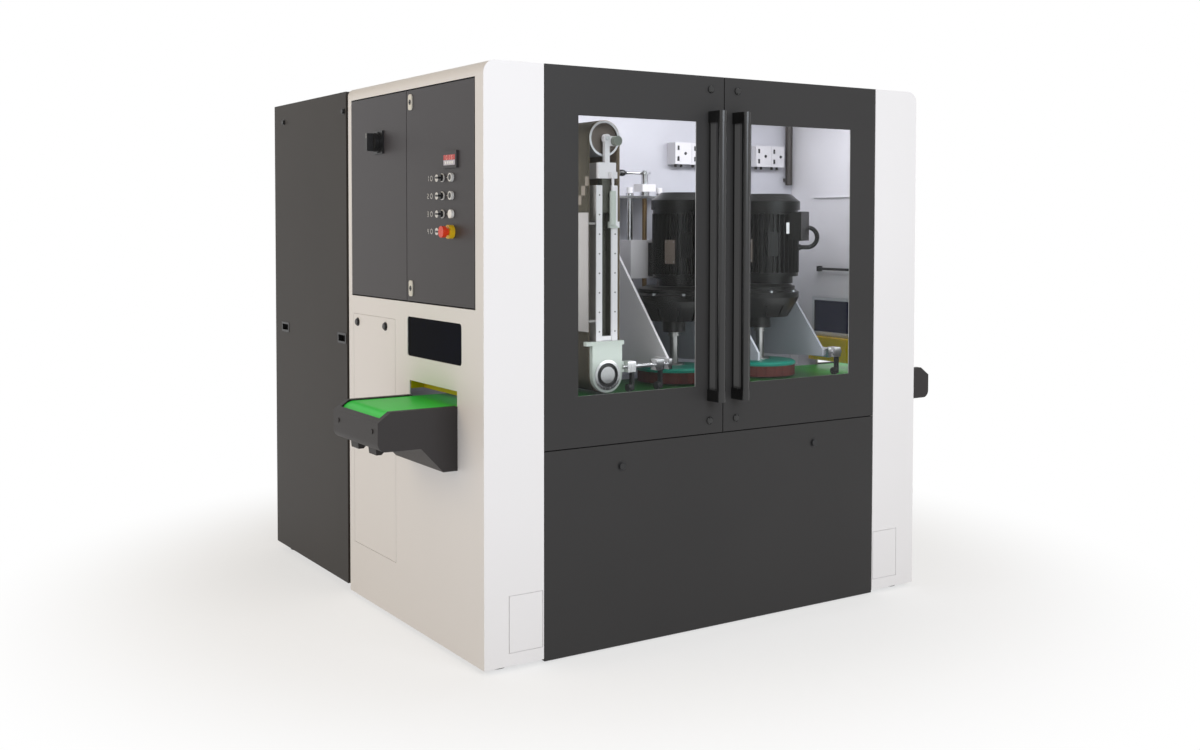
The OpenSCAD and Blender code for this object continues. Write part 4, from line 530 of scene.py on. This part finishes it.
# Painted shade: the yoke's part inside the column's slot takes the dark coat.
dress_parts("tension_yoke", lambda c, n: c.z < 1.7 and c.y > -0.81, unit_white, slot_shade_and_screw_dark)
grip_green = powder_coat("tracking_knob_grey_green", (0.16, 0.18, 0.15), 0.4, 0.2, 800.0)
dress(grip_green, "tracking_knob")

# Rollers of the abrasive belt: the tension roller has a bright rim and boss on a brown web,
# the contact roller a black rubber tread and a steel shaft end at the front.
web_brown = powder_coat("roller_web_brown", (0.09, 0.07, 0.055), 0.5, 0.3, 400.0)
roller_rubber = powder_coat("roller_rubber", (0.03, 0.03, 0.032), 0.6, 0.3, 500.0)


def roller_web(c, n):
    return 0.0085 < math.hypot(c.x - belt_unit_x, c.z - tension_z) < 0.0585


dress_parts("tension_roller", roller_web, cast_aluminium, web_brown)
dress_parts("contact_roller", lambda c, n: c.y < -0.8, roller_rubber, ground_steel)

# Abrasive belt: a loop of dark cloth on brown backing, with a splice tape slanting across it.
# It runs round both rollers.
abrasive = powder_coat(
    "abrasive_cloth", (0.045, 0.04, 0.028), 0.85, 1.0, 1500.0, drift=0.2, drift_size=20.0, gloss=0.2
)
backing = powder_coat(
    "abrasive_backing_cloth", (0.2, 0.16, 0.11), 0.8, 0.8, 1100.0, drift=0.1, drift_size=12.0, gloss=0.2
)
seam_tape = powder_coat("belt_splice_tape", (0.13, 0.11, 0.085), 0.6, 0.4, 900.0)
dress(abrasive, "abrasive_belt")
belt_front_y = -0.79
belt_width = 0.37
strips = 14
arc_steps = 32
run_steps = 25
outer_radius = 0.068
inner_radius = 0.0664
splice_start = 36


def belt_arc(centre_z, start):
    turns = [math.radians(start + 180 * i / arc_steps) for i in range(arc_steps + 1)]
    return [(math.cos(turn), math.sin(turn), centre_z) for turn in turns]


def belt_run(way):
    shares = [run / run_steps for run in range(1, run_steps)]
    return [(way, 0.0, tension_z + (contact_z - tension_z) * (s if way < 0 else 1 - s)) for s in shares]


loop = bmesh.new()
spots = belt_arc(tension_z, 0) + belt_run(-1) + belt_arc(contact_z, 180) + belt_run(1)
ys = [belt_front_y + belt_width * k / strips for k in range(strips + 1)]
skins = []
for radius in (outer_radius, inner_radius):
    lines = [(belt_unit_x + c * radius, z + s * radius) for c, s, z in spots]
    skins.append([[loop.verts.new((x, y, z)) for y in ys] for x, z in lines])
outside, inside = skins
for i in range(len(spots)):
    j = (i + 1) % len(spots)
    for k in range(strips):
        outer = loop.faces.new((outside[i][k], outside[j][k], outside[j][k + 1], outside[i][k + 1]))
        outer.material_index = 2 if i == splice_start + k else 0
        inner = loop.faces.new((inside[i][k + 1], inside[j][k + 1], inside[j][k], inside[i][k]))
        inner.material_index = 1
    for k in (0, strips):
        rim = loop.faces.new((outside[i][k], inside[i][k], inside[j][k], outside[j][k]))
        rim.material_index = 1
bmesh.ops.recalc_face_normals(loop, faces=loop.faces[:])
for face in loop.faces:
    face.smooth = True
belt_loop = make_object(loop, "abrasive_belt_loop", abrasive, backing, seam_tape)
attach(belt_loop, "machine")
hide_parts("abrasive_belt")
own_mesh(belt_loop)

# Slides of the disc units: pale blue-grey gussets, bright top plates and steel guide rods.
# The outer face of the first gusset is painted white as painted light; both carriages are white.
disc_unit_xs = (0.058, 0.506)
gusset_coat = powder_coat("gusset_blue_white", (0.42, 0.44, 0.48), 0.38, 0.12, 240.0, drift=0.05, gloss=0.4)


def from_unit_axis(c):
    return min((c.x - unit_x for unit_x in disc_unit_xs), key=abs)


def slide_part(c, n):
    gusset, white, steel = range(3)
    x = from_unit_axis(c)
    if c.z > 1.65:
        return white
    if c.z > 1.6225 and abs(x) < 0.161:
        return steel
    if abs(abs(x) - 0.075) < 0.017 and abs(c.y + 0.395) < 0.017:
        return steel
    # Painted light: the outer face of the first gusset takes the white coat.
    return white if c.x < -0.1 else gusset


dress_parts("slide_frames", slide_part, gusset_coat, unit_white, ground_steel)
dress(unit_white, "carriage_1", "carriage_2")

# Lead screws with their cranks: oiled brown screw, steel hub and arm, glossy black oval knob.
# The knob sits at the arm's left end; below the hub the brown of the screw begins.


def crank_part(c, n):
    steel, brown, black = range(3)
    if from_unit_axis(c) < -0.0915:
        return black
    return brown if c.z < 1.68 else steel


dress_parts("height_crank_1", crank_part, ground_steel, screw_brown, black_satin)
dress_parts("height_crank_2", crank_part, ground_steel, screw_brown, black_satin)

# Disc motors: black castings with bright flange bolts on the bell housing. Each carries a bare taupe
# name plate with four rivets on its fins and a small blank white label beside the terminal box.
unit_y = -0.604
motor_offset = 0.046
fin_radius = 0.1265
motor_paint = (0.004, 0.004, 0.0035)
motor_black = powder_coat("motor_black_paint", motor_paint, 0.3, 0.25, 500.0, drift=0.1, gloss=0.25)
plate_taupe = powder_coat("name_plate_taupe", (0.16, 0.13, 0.11), 0.4, 0.1, 900.0)
label_white = powder_coat("blank_label_white", (0.7, 0.7, 0.7), 0.45, 0.05, 900.0)


def at_flange_bolt(c, n, x0):
    upright_or_flat = abs(n.z) < 0.1 or n.z > 0.99
    return upright_or_flat and 1.2368 < c.z < 1.2455 and math.hypot(c.x - x0, c.y - unit_y) > 0.1465


def curved_plate(name, turn, width, low, high, thick, axis_x, body, rivets, *mats):
    plate = bmesh.new()
    half = width / fin_radius / 2
    rows = []
    for i in range(9):
        angle = math.radians(turn) - half + 2 * half * i / 8
        spot = Vector((math.cos(angle), math.sin(angle), 0))
        inner, outer = fin_radius * spot, (fin_radius + thick) * spot
        section = ((inner, low), (inner, high), (outer, high), (outer, low))
        rows.append([plate.verts.new((v.x + axis_x, v.y + unit_y, z)) for v, z in section])
    join_loops(plate, zip(rows, rows[1:]))
    plate.faces.new(rows[0][::-1])
    plate.faces.new(rows[-1])
    bmesh.ops.recalc_face_normals(plate, faces=plate.faces[:])
    soften(plate, [e for e in plate.edges if e.calc_face_angle(0) > 1.0], thick / 3)
    for side in rivets:
        for z in (low + 0.008, high - 0.008):
            angle = math.radians(turn) + side * (half - 0.005 / fin_radius)
            reach = fin_radius + thick
            x, y = math.cos(angle) * reach + axis_x, math.sin(angle) * reach + unit_y
            lean = Matrix.Rotation(angle, 4, "Z") @ Matrix.Rotation(math.pi / 2, 4, "Y")
            screw_head(plate, Matrix.Translation((x, y, z)) @ lean, 16, 0.0026, 0.0015, 0.0018, 1)
    piece = make_object(plate, name, *mats)
    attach(piece, body)


for number, unit_x, plate_turn in (("1", disc_unit_xs[0], -152), ("2", disc_unit_xs[1], -172)):
    body, motor_x = "unit_" + number, unit_x + motor_offset
    dress_parts("motor_" + number, lambda c, n: at_flange_bolt(c, n, unit_x), motor_black, zinc_steel)
    curved_plate(
        "name_plate_" + number, plate_turn, 0.044, 1.36, 1.455, 0.002, motor_x, body, (-1, 1),
        plate_taupe, zinc_steel,
    )
    curved_plate("blank_label_" + number, -92, 0.016, 1.478, 1.524, 0.0012, motor_x, body, (), label_white)
dress(motor_black, "grinder_motor")

# Abrasive discs: dark brown-red lamellae under a glossy teal backing plate.
# Both belong to one turned piece, so the height decides between them.
disc_split_z = 0.9331
disc_red = powder_coat(
    "disc_abrasive_red", (0.11, 0.028, 0.022), 0.8, 1.0, 1300.0, drift=0.25, drift_size=30.0, gloss=0.2
)
disc_teal = powder_coat(
    "disc_backing_teal", (0.008, 0.24, 0.17), 0.32, 0.15, 300.0, drift=0.15, drift_size=6.0, gloss=0.2
)
for name in ("abrasive_disc_1", "abrasive_disc_2"):
    dress_parts(name, lambda c, n: c.z > disc_split_z, disc_red, disc_teal)

# Panel devices: white bezel rings round the black knobs, white lamp, yellow collar under the red stop
# button, cream lock plates with a dark key hole, and the display's case in the coat of the doors.
lamp_z = 1.553
stop_z = 1.491
ring_white = powder_coat("bezel_white_plastic", (0.66, 0.66, 0.66), 0.35, 0.1, 800.0)
collar_yellow = powder_coat("stop_collar_yellow", (0.75, 0.48, 0.01), 0.35, 0.1, 800.0)
lock_cream = powder_coat("lock_plate_cream", (0.68, 0.66, 0.6), 0.35, 0.1, 800.0)
lamp_white = powder_coat("lamp_lens_white", (0.86, 0.86, 0.86), 0.2, 0.05, 800.0, gloss=0.6)


def device_part(c, n):
    ring, door, collar, plate, hole, lens = range(6)
    y, z = c.y - front_y, c.z
    if abs(y - 0.567) < 0.018:
        return plate if math.hypot(y - 0.567, min(abs(z - 1.28), abs(z - 1.964))) > 0.0106 else hole
    if z > 1.705:
        return door
    if abs(z - stop_z) < 0.03 and y < 0.26:
        return collar
    if abs(z - lamp_z) < 0.02 and y < 0.26:
        return lens
    return ring


device_mats = (ring_white, blue_coat, collar_yellow, lock_cream, black_plastic, lamp_white)
dress_parts("panel_indicators", device_part, *device_mats)
stop_red = powder_coat("stop_button_red", (0.72, 0.045, 0.01), 0.25, 0.05, 800.0, gloss=0.5)
dress(stop_red, "estop_button")

# Printed marks on the control door, with no words: row numbers, a ring at each dial and a short dash.
# The numbers are built of straight strokes, named like the segments of a figure display.
mark_x = -1.014
rim_x = -1.0143
dial_y = -0.6
row_zs = (1.68, 1.617, lamp_z, stop_z)
edge_soft = 0.00015
print_white = powder_coat("printed_mark_white", (0.62, 0.62, 0.62), 0.5, 0.05, 900.0, gloss=0.3)


def slab(into, low, high, soft, index=0):
    centre = (Vector(low) + Vector(high)) / 2
    size = Vector(high) - Vector(low)
    place = Matrix.Translation(centre) @ Matrix.Diagonal((*size, 1.0))
    block = bmesh.ops.create_cube(into, size=1.0, matrix=place)
    cut = soften(into, edges_of(block["verts"]), soft)
    kept = [v for v in block["verts"] if v.is_valid]
    for face in {f for v in list(cut["verts"]) + kept for f in v.link_faces}:
        face.material_index = index


def figure(into, strokes, face_x, y, z, wide, tall, pen):
    spots = {
        "a": ((0, 1), (1, 1)), "b": ((1, 0.5), (1, 1)), "c": ((1, 0), (1, 0.5)), "d": ((0, 0), (1, 0)),
        "e": ((0, 0), (0, 0.5)), "f": ((0, 0.5), (0, 1)), "g": ((0, 0.5), (1, 0.5)),
    }
    for stroke in strokes:
        (x0, z0), (x1, z1) = spots[stroke]
        near, far = sorted((y + wide / 2 - x0 * wide, y + wide / 2 - x1 * wide))
        low = (face_x - 0.0004, near - pen / 2, z + z0 * tall - pen / 2)
        high = (face_x + 0.0002, far + pen / 2, z + z1 * tall + pen / 2)
        slab(into, low, high, edge_soft)


marks = bmesh.new()
for z, strokes in zip(row_zs, ("bc", "abged", "abgcd", "fgbc")):
    figure(marks, strokes, mark_x, -0.572, z - 0.008, 0.009, 0.016, 0.0022)
    slab(marks, (-1.0144, -0.7285, z - 0.0009), (-1.0138, -0.7205, z + 0.0009), edge_soft)
    seat = Matrix.Translation((rim_x, dial_y, z)) @ Matrix.Rotation(math.pi / 2, 4, "Y")
    rim_verts = []
    for radius in (0.0095, 0.0072):
        rim = bmesh.ops.create_circle(marks, cap_ends=False, segments=40, radius=radius, matrix=seat)
        rim_verts += rim["verts"]
    band = bmesh.ops.bridge_loops(marks, edges=edges_of(rim_verts))
    depth = bmesh.ops.extrude_face_region(marks, geom=band["faces"])
    raised = [v for v in depth["geom"] if isinstance(v, bmesh.types.BMVert)]
    bmesh.ops.translate(marks, verts=raised, vec=(0.0005, 0, 0))
bmesh.ops.recalc_face_normals(marks, faces=marks.faces[:])
mark_piece = make_object(marks, "control_door_marks", print_white)
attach(mark_piece, "control_door")

# Display: a red window with lit figures over a lavender field with a row of four pale keys.
# The figures have no meaning; they only show that the display is on.
screen_x = -1.0218
screen_y = (-0.8, -0.713)
display_red = powder_coat("display_red_window", (0.5, 0.025, 0.02), 0.2, 0.02, 800.0, gloss=0.6)
field_lavender = powder_coat("display_key_field", (0.52, 0.5, 0.58), 0.35, 0.05, 800.0)
figure_red = powder_coat("display_figures", (0.95, 0.42, 0.36), 0.3, 0.02, 900.0)
screen = bmesh.new()
for place, strokes in enumerate(("abcdef", "bc", "acdfg")):
    figure(screen, strokes, screen_x, -0.737 - 0.02 * place, 1.7425, 0.009, 0.012, 0.0018)
for place in range(4):
    key_y = -0.731 - 0.017 * place
    slab(screen, (-1.0229, key_y - 0.005, 1.7265), (-1.0217, key_y + 0.005, 1.7355), 0.0004, 1)
slab(screen, (screen_x, screen_y[0], 1.74), (-1.0208, screen_y[1], 1.758), 0.0003, 2)
slab(screen, (screen_x, screen_y[0], 1.722), (-1.0208, screen_y[1], 1.7397), 0.0003, 3)
screen_piece = make_object(
    screen, "display_figures_and_keys", figure_red, lamp_white, display_red, field_lavender
)
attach(screen_piece, "control_door")

# Pointer of the main switch: a printed white line on the knob's face.
# It turns with the knob.
pointer = bmesh.new()
slab(pointer, (-1.0684, -0.1405, 1.846), (-1.0678, -0.1375, 1.864), edge_soft)
pointer_piece = make_object(pointer, "main_switch_pointer", print_white)
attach(pointer_piece, "switch_knob")
